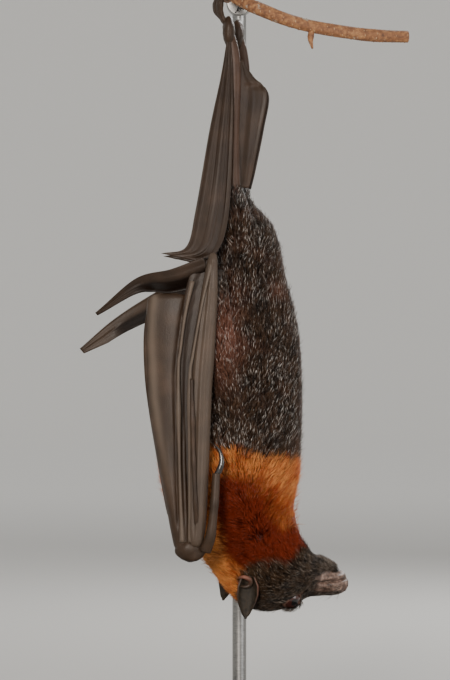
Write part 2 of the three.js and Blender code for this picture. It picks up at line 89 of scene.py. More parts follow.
def bumps(p, table):
    # soft bumps that are the same on both sides of the body; a row is height, centre and radius
    mirrored = np.stack([p[..., 0], np.abs(p[..., 1]), p[..., 2]], -1)
    return sum(height * bump(mirrored, centre, radius) for height, centre, radius in table)


# Meshes from surfaces.
# A surface is a function of u (along) and v (round, or across) that gives points.

def gridQuads(rows, columns, closed):
    i, j = np.meshgrid(np.arange(rows - 1), np.arange(columns if closed else columns - 1), indexing="ij")
    near, far = i * columns, (i + 1) * columns
    k = (j + 1) % columns
    return np.stack([near + j, near + k, far + k, far + j], -1).reshape(-1, 4)


def tubeShell(surface, steps, sides):
    # a closed shell round a tube-like surface, with a fan over each end
    u, v = np.meshgrid(np.linspace(0, 1, steps + 1), np.arange(sides) / sides, indexing="ij")
    points = surface(u, v)
    ends = np.stack([points[0].mean(0), points[-1].mean(0)])
    verts = np.vstack([points.reshape(-1, 3), ends])
    around = np.arange(sides)
    after = (around + 1) % sides
    last = steps * sides
    first = len(verts) - 2
    caps = np.vstack([
        np.stack([after, around, np.full(sides, first)], -1),
        np.stack([last + around, last + after, np.full(sides, first + 1)], -1),
    ])
    return outwards({"verts": verts, "quads": gridQuads(steps + 1, sides, True), "tris": caps})


def sheetShell(surface, steps, across, thickness):
    # a closed thin sheet: thickness may change over u and v
    u, v = np.meshgrid(np.linspace(0, 1, steps + 1), np.linspace(0, 1, across + 1), indexing="ij")
    small = 1e-3
    alongU = surface(np.minimum(u + small, 1), v) - surface(np.maximum(u - small, 0), v)
    alongV = surface(u, np.minimum(v + small, 1)) - surface(u, np.maximum(v - small, 0))
    normal = unit(np.cross(alongU, alongV))
    thick = thickness(u, v)[..., None] if callable(thickness) else thickness
    layers = [(surface(u, v) + normal * thick * half).reshape(-1, 3) for half in (-0.5, 0.5)]
    quads = gridQuads(steps + 1, across + 1, False)
    count = (steps + 1) * (across + 1)
    index = np.arange(count).reshape(steps + 1, across + 1)
    rim = np.concatenate([index[0, :-1], index[:-1, -1], index[-1, :0:-1], index[:0:-1, 0]])
    following = np.roll(rim, -1)
    walls = np.stack([rim, following, following + count, rim + count], -1)
    return outwards({"verts": np.vstack(layers), "quads": np.vstack([quads[:, ::-1], quads + count, walls]),
                     "tris": np.zeros((0, 3), int), "u": np.tile(u.ravel(), 2), "v": np.tile(v.ravel(), 2)})


def outwards(shell):
    # turns the faces round if the closed shell is inside out
    v, q, t = shell["verts"], shell["quads"], shell["tris"]
    triangles = np.vstack([q[:, [0, 1, 2]], q[:, [0, 2, 3]], t])
    a, b, c = (v[triangles[:, k]] for k in range(3))
    if (a * np.cross(b, c)).sum() < 0:
        shell["quads"], shell["tris"] = q[:, ::-1], t[:, ::-1]
    return shell


def joinShells(shells):
    # marks: a named number at each point, 0 where a shell doesn't state it
    names = sorted({name for s in shells for name in s.get("marks", {})})
    starts = np.cumsum([0] + [len(s["verts"]) for s in shells])
    joined = {key: np.vstack([s[key] + (start if key != "verts" else 0) for s, start in zip(shells, starts)])
              for key in ("verts", "quads", "tris")}
    joined["marks"] = {
        name: np.concatenate([s.get("marks", {}).get(name, np.zeros(len(s["verts"]))) for s in shells])
        for name in names}
    slots = [np.full(len(s["quads"]), s.get("finish", 0)) for s in shells]
    slots += [np.full(len(s["tris"]), s.get("finish", 0)) for s in shells]
    joined["finishes"] = np.concatenate(slots)
    return joined


def makePiece(name, shell, finishNames, checked=True):
    verts, quads, tris = shell["verts"] * mm, shell["quads"], shell["tris"]
    mesh = bpy.data.meshes.new(name)
    mesh.vertices.add(len(verts))
    mesh.vertices.foreach_set("co", verts.ravel())
    mesh.loops.add(quads.size + tris.size)
    mesh.loops.foreach_set("vertex_index", np.concatenate([quads.ravel(), tris.ravel()]))
    mesh.polygons.add(len(quads) + len(tris))
    starts = np.concatenate([np.arange(len(quads)) * 4, quads.size + np.arange(len(tris)) * 3])
    mesh.polygons.foreach_set("loop_start", starts)
    if "finishes" in shell:
        mesh.polygons.foreach_set("material_index", shell["finishes"])
    addMarks(mesh, "FLOAT", shell.get("marks", {}))
    mesh.update(calc_edges=True)
    if checked:
        mesh.validate()
    mesh.polygons.foreach_set("use_smooth", np.full(len(mesh.polygons), True))
    for finishName in finishNames:
        mesh.materials.append(finishes[finishName])
    return placeObject(name, mesh)


def addMarks(mesh, kind, marks):
    # each mark is a named number, or vector, at every point
    for name, values in marks.items():
        stored = mesh.attributes.new(name, kind, "POINT").data
        stored.foreach_set("value" if kind == "FLOAT" else "vector", np.ravel(values))


def placeObject(name, data):
    placed = bpy.data.objects.new(name, data)
    bpy.context.scene.collection.objects.link(placed)
    return placed


def settle(piece, slot, *replaced):
    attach(piece, "root")
    if replaced:
        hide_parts(*replaced)


def limbSurface(path, radii, fatter=None):
    # a round limb along a path; fatter(u, v) multiplies its radius
    fine = curveAt(path, np.linspace(0, 1, 300))
    travelled = np.concatenate([[0], np.cumsum(np.linalg.norm(np.diff(fine, axis=0), axis=1))])
    even = np.linspace(0, travelled[-1], 200)
    centres = np.stack([np.interp(even, travelled, fine[:, k]) for k in range(3)], -1)
    tangents = unit(np.gradient(centres, axis=0))
    normals = np.zeros_like(centres)
    normals[0] = unit(np.cross(tangents[0], [0.3, 1, 0.2]))
    for i in range(1, len(centres)):
        normals[i] = unit(normals[i - 1] - tangents[i] * (normals[i - 1] @ tangents[i]))
    binormals = np.cross(tangents, normals)

    def surface(u, v):
        spot = np.clip(u, 0, 1) * (len(centres) - 1)
        pick = [np.stack([np.interp(spot, np.arange(len(centres)), a[:, k]) for k in range(3)], -1)
                for a in (centres, normals, binormals)]
        radius = np.interp(np.clip(u, 0, 1), np.linspace(0, 1, len(radii)), radii)
        if fatter:
            radius = radius * fatter(u, v)
        angle = 2 * math.pi * v
        ring = pick[1] * np.cos(angle)[..., None] + pick[2] * np.sin(angle)[..., None]
        return pick[0] + ring * radius[..., None]

    return surface


# Trunk, neck and head: one run of cross-sections.
# back and belly are x, z in the middle plane at the coat's tips; side is the half-width there;
# coat is how far the skin lies inside; hair is the length of a hair; turn is the share of the head's turn

trunkSections = [
    # back x, z     belly x, z    side  coat  hair  turn
    (-3, 306, 3, 306.5, 4, 2.5, 7, 0),  # tail end
    (-9, 291, 8, 293, 15, 3.6, 7.5, 0),  # rump
    (-17, 272, 20.5, 277, 25, 3.8, 7.5, 0),  # hips
    (-27, 248, 26.5, 252, 31, 3.8, 7, 0),  # loins
    (-35, 222, 33, 224, 34.5, 3.8, 7, 0),  # belly
    (-41, 194, 35.2, 196, 36.5, 3.8, 7, 0),  # ribs
    (-45, 166, 35, 168, 37, 4.2, 7.5, 0),  # chest
    (-45, 142, 34, 146, 36, 5.2, 9.5, 0),  # shoulders
    (-38, 121, 32, 128, 32, 6.2, 11, 0),  # collar
    (-28, 105, 33, 117.5, 27.5, 6, 11, 0.1),  # neck
    (-19, 92, 36, 110, 24, 5, 9.5, 0.3),  # nape
    (-10, 80, 37.5, 106, 21.5, 3.8, 7.5, 0.6),  # occiput
    (0, 70.5, 38.5, 103.5, 19.5, 2.7, 6, 0.9),  # crown
    (11, 66.8, 39.5, 101.5, 18, 2.3, 5, 1),  # ears
    (21, 67.6, 41, 99.8, 16.8, 2, 4.5, 1),  # temples
    (30, 70.3, 43, 98.2, 14.6, 1.5, 3.4, 1),  # eyes
    (38, 73.6, 45.5, 96.8, 11.6, 1, 2.8, 1),  # bridge
    (46, 74.6, 49, 95, 10, 0.7, 2.2, 1),  # muzzle
    (53, 75, 53.5, 92.3, 8.8, 0.4, 1.6, 1),  # lips
    (58, 76.2, 57.5, 88.8, 6.6, 0.2, 1, 1),  # nose
    (60.8, 80, 60.4, 85.5, 3, 0.1, 0.6, 1),  # nose tip
]
lastSection = len(trunkSections) - 1
headTurn = {"yaw": 10, "roll": 12, "pivot": (8, 0, 86)}
eye = {"x": 26.8, "y": 10.4, "z": 76.2, "radius": 5.5, "gaze": (0.3, 0.9, -0.25), "slit": (0.87, 0, 0.5),
       "lidOver": 0.45, "openLong": 4.9, "openHigh": 2.9}
mouth = {"cornerX": 41.5, "cornerZ": 84.6, "rise": 0.045, "depth": 1.9, "width": 0.6}


def turnedHead(p, share):
    pivot = np.array(headTurn["pivot"], float)
    roll = np.radians(headTurn["roll"]) * share
    yaw = np.radians(headTurn["yaw"]) * share
    x, y, z = np.moveaxis(p - pivot, -1, 0)
    y, z = y * np.cos(roll) - z * np.sin(roll), y * np.sin(roll) + z * np.cos(roll)
    x, y = x * np.cos(yaw) - y * np.sin(yaw), x * np.sin(yaw) + y * np.cos(yaw)
    return np.stack([x, y, z], -1) + pivot


def eyeCentre(side):
    return np.array([eye["x"], side * eye["y"], eye["z"]])


def eyeGaze(side):
    gx, gy, gz = eye["gaze"]
    return unit(np.array([gx, side * gy, gz]))


def mouthAway(x, z):
    # height above the line of the mouth
    return z - (mouth["cornerZ"] + mouth["rise"] * (x - mouth["cornerX"]))


faceForms = [  # height, centre and radius
    (1.3, (29, 14, 89), (9, 8, 6)),  # cheek
    (1.0, (20, 10, 69), (6, 6, 5)),  # brow
    (-1.3, (38.5, 10, 78), (5.5, 6, 5)),  # hollow in front of the eye
    (0.9, (51, 8, 79.5), (5, 5, 3.2)),  # whisker pad
    (0.6, (53, 7, 88), (5, 5, 3)),  # lower lip
    (1.1, (41.5, 9.5, 88), (2.2, 5, 3.6)),  # fold behind the corner of the mouth
    (-0.8, (37.5, 10, 86), (2.2, 6, 5)),
    (-1.2, (45.5, 9, 84.2), (2.6, 5, 1.1)),  # the lips part a little at the corner
]


def headForms(p, outward):
    # bones and soft forms of the face, pushed out or in along the skin's outward direction
    x, y, z = np.moveaxis(p, -1, 0)
    away = mouthAway(x, z)
    opening = smooth(mouth["cornerX"] - 0.5, mouth["cornerX"] + 2, x)
    push = bumps(p, faceForms) - opening * mouth["depth"] * ridge(away, 0, mouth["width"])
    push += opening * 0.7 * (ridge(away, 1.8, 1.0) + ridge(away, -1.9, 1.1))
    creased = ridge(away, -3.6, 2.4) + ridge(away, 3.4, 1.8)
    push += 0.28 * opening * softNoise(np.stack([x * 0.8, y * 0.3, z * 1.5], -1), 1.9, 23) * creased
    nostril = np.sqrt((x - 59.6) ** 2 + (np.abs(y) - 3.3) ** 2 + (z - 80.6) ** 2)
    push += 0.9 * ridge(nostril, 1.7, 0.9) - 1.8 * ridge(nostril, 0, 1.0)
    push -= 0.9 * ridge(y, 0, 0.8) * smooth(56.5, 59, x) * smooth(86, 83, z)  # groove between the nostrils
    return p + outward * push[..., None]


def eyeSlit(p, side):
    # 0 in the middle of the eye's opening, 1 at the lids' edge and more beyond
    gaze, slit = eyeGaze(side), np.array(eye["slit"])
    ways = unit(p - eyeCentre(side))
    longWay = unit(slit - gaze * (slit @ gaze))  # from the ear's side to the muzzle
    highWay = np.cross(longWay, gaze)
    a = (ways @ longWay) * eye["radius"] / eye["openLong"]
    b = (ways @ highWay) * eye["radius"] / eye["openHigh"]
    return np.sqrt(a * a + b * b) + 4 * (ways @ gaze < 0)


def eyeForms(p):
    # hollows the skin behind each eyeball and lays the lids over its edge
    for side in (-1, 1):
        centre = eyeCentre(side)
        far = np.linalg.norm(p - centre, axis=-1)
        slit = eyeSlit(p, side)
        lid = eye["radius"] + eye["lidOver"] + 0.35 * ridge(slit, 1.1, 0.1) + 0.2 * ridge(slit, 1.42, 0.1)
        hold = (1 - smooth(1.4, 2.2, slit)) * (1 - smooth(7.2, 10.5, far))
        lidded = np.maximum(0.35 * far + 0.65 * lid, lid)
        radius = far * (1 - hold) + np.where(slit < 0.97, eye["radius"] - 1.6, lidded) * hold
        near = (far < 3 * eye["radius"])[..., None]
        p = np.where(near, centre + unit(p - centre) * radius[..., None], p)
    return p


def trunkSkin(s, angle, turned=True):
    # the skin at section number s; angle is 0 at the belly and half a turn at the back
    row = curveAt(trunkSections, s / lastSection)
    back = np.stack([row[..., 0], np.zeros_like(s), row[..., 1]], -1)
    belly = np.stack([row[..., 2], np.zeros_like(s), row[..., 3]], -1)
    side, inside, turn = row[..., 4], row[..., 5], row[..., 7]
    across = belly - back
    half = np.linalg.norm(across, axis=-1) / 2
    across = unit(across)
    depth = np.minimum(inside, side * 0.6)
    ring = across * (np.cos(angle) * (half - depth))[..., None]
    ring[..., 1] += np.sin(angle) * (side - depth)
    p = eyeForms(headForms((back + belly) / 2 + ring, unit(ring)))
    return turnedHead(p, turn) if turned else p


# Markings, shared by the skin and the coat.
# p is a point of the body before the head's turn

markings = {
    "mantleTop": (159.5, 0.16),  # height at the arm's edge, and how fast it falls towards the belly
    "faceEdge": [(-4, 91), (3, 96.5), (16.5, 99), (27.5, 100.5), (36, 107), (42, 111)],  # x, z
    "napeEdge": -1.5,
    "parting": (4, 127),  # x, z of the dark hollow in the mantle
    "rust": [  # darker red fur with painted shade in the hollow, and the band over the face; the nape stays gold
        (1.7, (0, 32, 123), (15, 22, 20)), (1.6, (12, 22, 103), (18, 24, 12)),
        (0.5, (-8, 32, 138), (8, 18, 12)), (1.2, (32, 8, 106), (10, 20, 9)),
        (-1.3, (-18, 24, 106), (10, 24, 18))],
    "warm": [  # the flank where reddish skin and wool show through
        (0.8, (-9, 34, 220), (10, 20, 22)), (0.5, (20, 22, 246), (6, 14, 6))],
    "paintedLight": [  # painted light: mantle strands brightened at the nape, which lies in shade, and along the mantle's top
        (1.0, (-20, 16, 98), (18, 24, 26)), (0.35, (8, 30, 150), (30, 25, 9))],
}


def mantleMark(p):
    x, _, z = np.moveaxis(p, -1, 0)
    ragged = 2.0 * softNoise(p, 5, 3) + 0.8 * softNoise(p, 1.7, 4)
    top = markings["mantleTop"][0] - markings["mantleTop"][1] * (x + 15)
    edge = np.array(markings["faceEdge"])
    face = np.interp(x, edge[:, 0], edge[:, 1])
    overFace = smooth(-3, 2.5, z - face + ragged)
    nape = smooth(-1.5, 1.5, markings["napeEdge"] - x + ragged)
    return smooth(-2.5, 2.5, top - z + ragged) * np.maximum(overFace, nape)


# darker red fur, with painted shade laid in the mantle's hollow
def rustAndShadeMark(p):
    return np.clip(bumps(p, markings["rust"]) - 0.12 + 0.25 * softNoise(p, 7, 5), 0, 1)


def frostAndGlintMark(p):
    # how many hairs have silver tips, fewer in a band across the back: the coat's own frosting and painted glints
    x, _, z = np.moveaxis(p, -1, 0)
    band = 1 - 0.75 * ridge(z, 187, 7) * smooth(8, -4, x)
    return np.clip(0.5 + 0.25 * softNoise(p, 14, 8), 0.1, 1) * band


def warmMark(p):
    return np.clip(bumps(p, markings["warm"]) + 0.12 * softNoise(p, 8, 11), 0, 1)


def bareMark(p):
    # the lips and the nose pad have no hair
    x, _, z = np.moveaxis(p, -1, 0)
    ragged = 0.8 * softNoise(p, 3, 21)
    lips = smooth(38.5, 44.5, x + 1.5 * ragged) * smooth(6.6, 4.4, np.abs(mouthAway(x, z) + 0.4) + ragged)
    nose = smooth(55, 57.5, x)
    return np.clip(np.maximum(lips, nose), 0, 1)


def lidMark(p):
    # the lids' naked edge, one at each eye
    return sum(ridge(eyeSlit(p, side), 1.02, 0.07) * (np.linalg.norm(p - eyeCentre(side), axis=-1) < 8)
               for side in (-1, 1))


# Finishes.

def colour(hexText):
    # an sRGB hex value as linear red, green, blue and alpha
    parts = [int(hexText[i:i + 2], 16) / 255 for i in (1, 3, 5)]
    return tuple(c / 12.92 if c <= 0.04045 else ((c + 0.055) / 1.055) ** 2.4 for c in parts) + (1.0,)


def addNode(tree, kind, settings=None, inputs=None, output=0):
    # inputs: a socket is linked, anything else is set; gives back one output socket
    node = tree.nodes.new(kind)
    for name, value in (settings or {}).items():
        setattr(node, name, value)
    for name, value in (inputs or {}).items():
        socket = node.inputs[name]
        if isinstance(value, bpy.types.NodeSocket):
            tree.links.new(value, socket)
        else:
            socket.default_value = value
    return node.outputs[output] if len(node.outputs) else None


def rampSteps(socket, stops):
    # gives a colour ramp its stops: place and hex colour
    ramp = socket.node.color_ramp
    while len(ramp.elements) < len(stops):
        ramp.elements.new(0.5)
    for element, (place, hexText) in zip(ramp.elements, stops):
        element.position, element.color = place, colour(hexText)
    return socket


def newFinish(name):
    # gives back the material, its emptied tree and the place in the object
    finish = bpy.data.materials.new(name)
    finish.use_nodes = True
    finish.node_tree.nodes.clear()
    return finish, finish.node_tree, addNode(finish.node_tree, "ShaderNodeTexCoord", None, None, "Object")


def closeFinish(tree, base, roughness, relief=None, sockets=None):
    # relief: height, distance in metres and strength
    inputs = {"Base Color": base, "Roughness": roughness, **(sockets or {})}
    if relief:
        height, distance, strength = relief
        inputs["Normal"] = addNode(tree, "ShaderNodeBump", None, {
            "Height": height, "Distance": distance, "Strength": strength})
    shader = addNode(tree, "ShaderNodeBsdfPrincipled", None, inputs)
    addNode(tree, "ShaderNodeOutputMaterial", None, {"Surface": shader})


def mixLayers(tree, made, layers):
    # a row is a result, its share, and the colours at share 0 and 1: results by name, or a hex value;
    # a share that hasn't been made is a mark on the mesh
    for result, share, *ends in layers:
        if share not in made:
            made[share] = addNode(tree, "ShaderNodeAttribute", {"attribute_name": share}, None, "Fac")
        low, high = (colour(end) if end.startswith("#") else made[end] for end in ends)
        made[result] = addNode(tree, "ShaderNodeMix", {"data_type": "RGBA"},
                               {0: made[share], 6: low, 7: high}, 2)
    return made[result]


def perMetre(sizeInMm):
    # a noise texture's scale for lumps of that size
    return 1000 / sizeInMm


coatColours = {
    "under": "#120b07", "dark": "#20160f", "brown": "#5a412d", "warmSkin": "#875746", "silverGlint": "#f6f0e8",
    "goldRoot": "#4a1304", "gold": "#bd4a10", "goldTip": "#ffab5c",
    # rust colours: dark red fur, which in the mantle's hollow also stands for painted shade
    "rustRoot": "#330c01", "rustTip": "#852b06",
    "black": "#120b07", "faceTip": "#553e28", "grey": "#a79a8c",
}
coatLayers = [
    ("bodyRoot", "patchy", "under", "dark"), ("bodyTip", "tint", "dark", "brown"),
    ("body", "along", "bodyRoot", "bodyTip"), ("body", "warm", "body", "warmSkin"),
    ("body", "frostedAndGlinting", "body", "silverGlint"), ("goldEnd", "tint", "gold", "goldTip"),
    ("goldHair", "along", "goldRoot", "goldEnd"), ("rustHair", "along", "rustRoot", "rustTip"),
    ("mantleHair", "rust", "goldHair", "rustHair"), ("faceEnd", "tint", "black", "faceTip"),
    ("faceHair", "along", "under", "faceEnd"), ("faceHair", "grizzle", "faceHair", "grey"),
    ("coat", "face", "body", "faceHair"), ("coat", "mantle", "coat", "mantleHair"),
]


def coatColour(tree, place, along):
    # the same on the skin and on the hairs; along is 0 at a hair's root and 1 at its tip
    made = {name: colour(tone) for name, tone in coatColours.items()}
    frost = addNode(tree, "ShaderNodeAttribute", {"attribute_name": "frost"}, None, "Fac")
    tipHalf = addNode(tree, "ShaderNodeMapRange", {"interpolation_type": "SMOOTHSTEP"},
                      {"Value": along, "From Min": 0.5, "From Max": 0.85})
    made["along"] = along
    # silver tips: the coat's own frosting, also painted glints
    made["frostedAndGlinting"] = addNode(tree, "ShaderNodeMath", {"operation": "MULTIPLY"}, {0: tipHalf, 1: frost})
    made["patchy"] = addNode(tree, "ShaderNodeTexNoise", None,
                             {"Vector": place, "Scale": perMetre(7), "Detail": 3.0})
    return mixLayers(tree, made, coatLayers)


def coatFinish(name, roughness, specular):
    finish, tree, place = newFinish(name)
    along = addNode(tree, "ShaderNodeAttribute", {"attribute_name": "along"}, None, "Fac")
    gloss = addNode(tree, "ShaderNodeTexNoise", None, {"Vector": place, "Scale": perMetre(1.5)})
    rough = addNode(tree, "ShaderNodeMapRange", None,
                    {"Value": gloss, "To Min": roughness - 0.08, "To Max": roughness + 0.1})
    closeFinish(tree, coatColour(tree, place, along), rough, None, {"Specular IOR Level": specular})
    return finish


def bodySkinFinish():
    # hide under the coat; on the face bare skin is greasy and finely creased, and the lips are pinkish grey
    finish, tree, place = newFinish("bodySkin")
    blotches, creases = (
        addNode(tree, "ShaderNodeTexNoise", None,
                {"Vector": place, "Scale": perMetre(size), "Detail": detail})
        for size, detail in ((2.2, 4.0), (0.7, 3.0)))
    lip = addNode(tree, "ShaderNodeValToRGB", None, {"Fac": blotches})
    made = {"coat": coatColour(tree, place, 0.15),
            "lip": rampSteps(lip, [(0.3, "#33251f"), (0.52, "#6b554a"), (0.74, "#a98f81")])}
    base = mixLayers(tree, made, [("skin", "bare", "coat", "lip"), ("skin", "lid", "skin", "#6b4f42")])
    rough = addNode(tree, "ShaderNodeMapRange", None, {"Value": blotches, "To Min": 0.38, "To Max": 0.58})
    closeFinish(tree, base, rough, (creases, 0.00025, 0.7), {"Specular IOR Level": 0.5})
    return finish


def wingSkinFinish():
    # bare membrane: thin leathery skin with a satin gloss, finely wrinkled along its folds
    finish, tree, place = newFinish("wingSkin")
    lengthwise = addNode(tree, "ShaderNodeMapping", None, {"Vector": place, "Scale": (1.0, 1.0, 0.22)})
    wrinkles, grain, patches = (
        addNode(tree, "ShaderNodeTexNoise", None,
                {"Vector": vector, "Scale": perMetre(size), "Detail": detail, "Roughness": fine})
        for vector, size, detail, fine in (
            (lengthwise, 0.8, 4.0, 0.6), (place, 0.5, 2.0, 0.5), (place, 12, 3.0, 0.5)))
    tones = rampSteps(addNode(tree, "ShaderNodeValToRGB", None, {"Fac": patches}),
                      [(0.25, "#2d2016"), (0.5, "#392a1e"), (0.75, "#483629")])
    streaks = rampSteps(addNode(tree, "ShaderNodeValToRGB", None, {"Fac": wrinkles}),
                        [(0.3, "#b5b5b5"), (0.7, "#ffffff")])
    made = {"skin": addNode(tree, "ShaderNodeMix", {"data_type": "RGBA", "blend_type": "MULTIPLY"},
                            {0: 0.22, 6: tones, 7: streaks}, 2)}
    # The dark mix towards #1a100a is painted shade, laid in recesses, behind the packet and between folded parts.
    # The pale mix towards #8a7c6f is painted highlight, on the finger bones' ridges, the forearm's fold, the far
    # wing tip and the packet's outer band.
    base = mixLayers(tree, made, [("skin", "pale", "skin", "#8a7c6f"), ("skin", "flesh", "skin", "#6d4636"),
                                  ("skin", "dim", "skin", "#1a100a")])
    relief = addNode(tree, "ShaderNodeMix", None, {"Factor": 0.7, 2: wrinkles, 3: grain})
    rough = addNode(tree, "ShaderNodeMapRange", None, {"Value": relief, "To Min": 0.3, "To Max": 0.55})
    closeFinish(tree, base, rough, (relief, 0.00025, 0.6), {"Specular IOR Level": 0.3})
    return finish


def grainFinish(name, look):
    # one grain gives the tones, the gloss and the relief; a mark lays its own colour over them
    finish, tree, place = newFinish(name)
    size, detail = look["grain"]
    low, high = look["rough"]
    drawn = addNode(tree, "ShaderNodeMapping", None,
                    {"Vector": place, "Scale": look.get("stretch", (1, 1, 1))})
    grain = addNode(tree, "ShaderNodeTexNoise", None,
                    {"Vector": drawn, "Scale": perMetre(size), "Detail": detail})
    base = rampSteps(addNode(tree, "ShaderNodeValToRGB", None, {"Fac": grain}), look["tones"])
    if "mark" in look:
        mark, tone = look["mark"]
        base = mixLayers(tree, {"base": base}, [("marked", mark, "base", tone)])
    rough = addNode(tree, "ShaderNodeMapRange", None, {"Value": grain, "To Min": low, "To Max": high})
    relief = (grain, *look["relief"]) if "relief" in look else None
    closeFinish(tree, base, rough, relief, look.get("more"))
    return finish


def barkFinish():
    # young bark: thin, grey-brown and ridged lengthwise; sawn ends show pale wood with rings
    finish, tree, place = newFinish("youngBark")
    ridges, lichen, rings = (
        addNode(tree, "ShaderNodeTexNoise", None,
                {"Vector": place, "Scale": perMetre(size), "Detail": detail, "Roughness": fine})
        for size, detail, fine in ((2.4, 6.0, 0.65), (6, 5.0, 0.5), (0.8, 2.0, 0.5)))
    made = {"spots": addNode(tree, "ShaderNodeMapRange", None,
                             {"Value": lichen, "From Min": 0.6, "From Max": 0.68}),
            "bark": rampSteps(addNode(tree, "ShaderNodeValToRGB", None, {"Fac": ridges}),
                              [(0.28, "#4d3120"), (0.5, "#825637"), (0.72, "#b08255")]),
            "wood": rampSteps(addNode(tree, "ShaderNodeValToRGB", None, {"Fac": rings}),
                              [(0.35, "#b08f68"), (0.65, "#d6bb93")])}
    base = mixLayers(tree, made, [("bark", "spots", "bark", "#9a9182"), ("bark", "sawn", "bark", "wood")])
    rough = addNode(tree, "ShaderNodeMapRange", None, {"Value": ridges, "To Min": 0.6, "To Max": 0.85})
    closeFinish(tree, base, rough, (ridges, 0.0006, 0.8))
    return finish


grainLooks = {
    # thin bare ear: dark outside, flesh-coloured where the folds are thin
    "earSkin": {"grain": (2, 4.0), "tones": [(0.3, "#1b150e"), (0.7, "#352b1e")], "mark": ("pink", "#8c5847"),
                "rough": (0.42, 0.6), "relief": (0.0003, 0.6), "more": {"Specular IOR Level": 0.4}},
    # wet eye: dark red-brown iris under a clear glossy front
    "eyeWet": {"grain": (0.6, 3.0), "tones": [(0.3, "#220b06"), (0.7, "#471c11")],
               "mark": ("pupil", "#060404"), "rough": (0.08, 0.16),
               "more": {"Coat Weight": 1.0, "Coat Roughness": 0.03, "Coat IOR": 1.38}},
    # horn: nearly black and polished by use, a little brown and streaked towards the root
    "clawHorn": {"grain": (0.8, 2.0), "tones": [(0.3, "#0e0b0b"), (0.75, "#2c2320")], "rough": (0.16, 0.34),
                 "relief": (0.0001, 0.5), "more": {"Coat Weight": 0.5, "Coat Roughness": 0.12}},
    # lenticels: corky, paler than the bark and quite matt
    "corkyPore": {"grain": (0.6, 2.0), "tones": [(0.3, "#8a6546"), (0.7, "#b99873")], "rough": (0.75, 0.9),
                  "relief": (0.0001, 0.5)},
    # turned steel with a fine brushed grain round it
    "brushedSteel": {"grain": (0.5, 3.0), "stretch": (0.15, 0.15, 1.0),
                     "tones": [(0.3, "#8b8b8a"), (0.7, "#a9a8a6")], "rough": (0.3, 0.44),
                     "relief": (0.00004, 0.4), "more": {"Metallic": 1.0}},
    # powder-coated plate: matt warm grey with a fine orange-peel texture
    "powderCoat": {"grain": (0.8, 2.0), "tones": [(0.35, "#3b3a39"), (0.65, "#454443")], "rough": (0.48, 0.6),
                   "relief": (0.00008, 0.6)},
}
finishes = {name: grainFinish(name, look) for name, look in grainLooks.items()}
finishes.update(bodySkin=bodySkinFinish(), wingSkin=wingSkinFinish(), youngBark=barkFinish())
for name, roughness, specular in (
        ("guardHair", 0.34, 0.4), ("mantleHair", 0.38, 0.25), ("faceHair", 0.32, 0.5)):
    finishes[name] = coatFinish(name, roughness, specular)  # smooth keratin, with a soft gloss
print("finishes made")


# The skin, in one piece.

skin = {"trunkSides": 130,
        "rows": [(0, 11, 52), (11, 15, 38), (15, 20, 84)],  # first and last section, and rows
        "limbSides": 16, "limbSteps": 30, "toeRadius": 1.2}
skinShells = []


def faceShare(s):
    # the face's colours set in over the neck's sections
    return smooth(8.6, 10.2, s)


def trunkMarks(verts, s):
    none = np.zeros(len(verts))
    return {"mantle": mantleMark(verts), "rust": rustAndShadeMark(verts), "warm": warmMark(verts),
            "bare": bareMark(verts), "lid": lidMark(verts), "face": faceShare(s),
            "tint": 0.5 + 0.3 * softNoise(verts, 4, 31), "frost": none, "grizzle": none}


def trunkShell():
    rows = [np.linspace(*stretch, endpoint=False) for stretch in skin["rows"]]
    rows = np.concatenate(rows + [[lastSection]])
    even = np.linspace(0, 1, len(rows))
    steps, sides = len(rows) - 1, skin["trunkSides"]
    made, straight = (
        tubeShell(lambda u, v: trunkSkin(np.interp(u, even, rows), 2 * math.pi * v, turned), steps, sides)
        for turned in (True, False))
    made["marks"] = trunkMarks(straight["verts"], np.concatenate([np.repeat(rows, sides), [0, lastSection]]))
    return made


def sided(points, side):
    return [(x, side * y, z) for x, y, z in points]


def addShell(made, finish, **marks):
    # finish is 0 for body skin, 1 for wing skin and 2 for ear skin
    made["finish"] = finish
    made["marks"] = {name: np.full(len(made["verts"]), value) if np.isscalar(value) else value
                     for name, value in marks.items()}
    skinShells.append(made)


def addLimb(path, radii, finish, steps=None, sides=None, fatter=None, **marks):
    made = tubeShell(limbSurface(path, radii, fatter), steps or skin["limbSteps"], sides or skin["limbSides"])
    addShell(made, finish, **marks)


def egg(centre, radii, steps=20, sides=28, relief=None):
    def surface(u, v):
        tilt, turn = math.pi * (0.02 + 0.96 * u), 2 * math.pi * v
        way = np.stack([np.sin(tilt) * np.cos(turn), np.sin(tilt) * np.sin(turn), np.cos(tilt)], -1)
        p = np.asarray(centre) + way * np.asarray(radii)
        return p + way * relief(p)[..., None] if relief else p

    return tubeShell(surface, steps, sides)


twig = {"radius": 3.5, "swell": [0.98, 1.06, 0.97, 1.08, 1, 1.05, 0.96, 1.02, 0.93],
        "route": [(0, 96, 413), (0, 88, 413.5), (-5, 60, 413), (-7.5, 30, 410), (-6, 0, 408), (-4.5, -16, 407),
                  (1, -27, 403), (14, -35, 396.5), (32, -37, 390), (55, -35, 385.5), (76, -32, 383.5),
                  (92, -29, 383.2)],
        "bud": [(39, -37, 386), (38.5, -37.5, 381), (39.5, -38, 376)], "budRadii": [1.6, 1.9, 1.2, 0.5],
        "poresPerSquareMetre": 60000.0, "poreLength": 1.3, "poreSeed": 5}


def twigCentre(y):
    line = curveAt(twig["route"], np.linspace(0, 0.56, 400))[::-1]
    return np.interp(y, line[:, 1], line[:, 0]), np.interp(y, line[:, 1], line[:, 2])


legs = {"x": {-1: 0, 1: 5}, "pitch": 2.7, "middleY": 12, "wrap": 5.4, "thighRadii": [8, 7, 5, 4]}


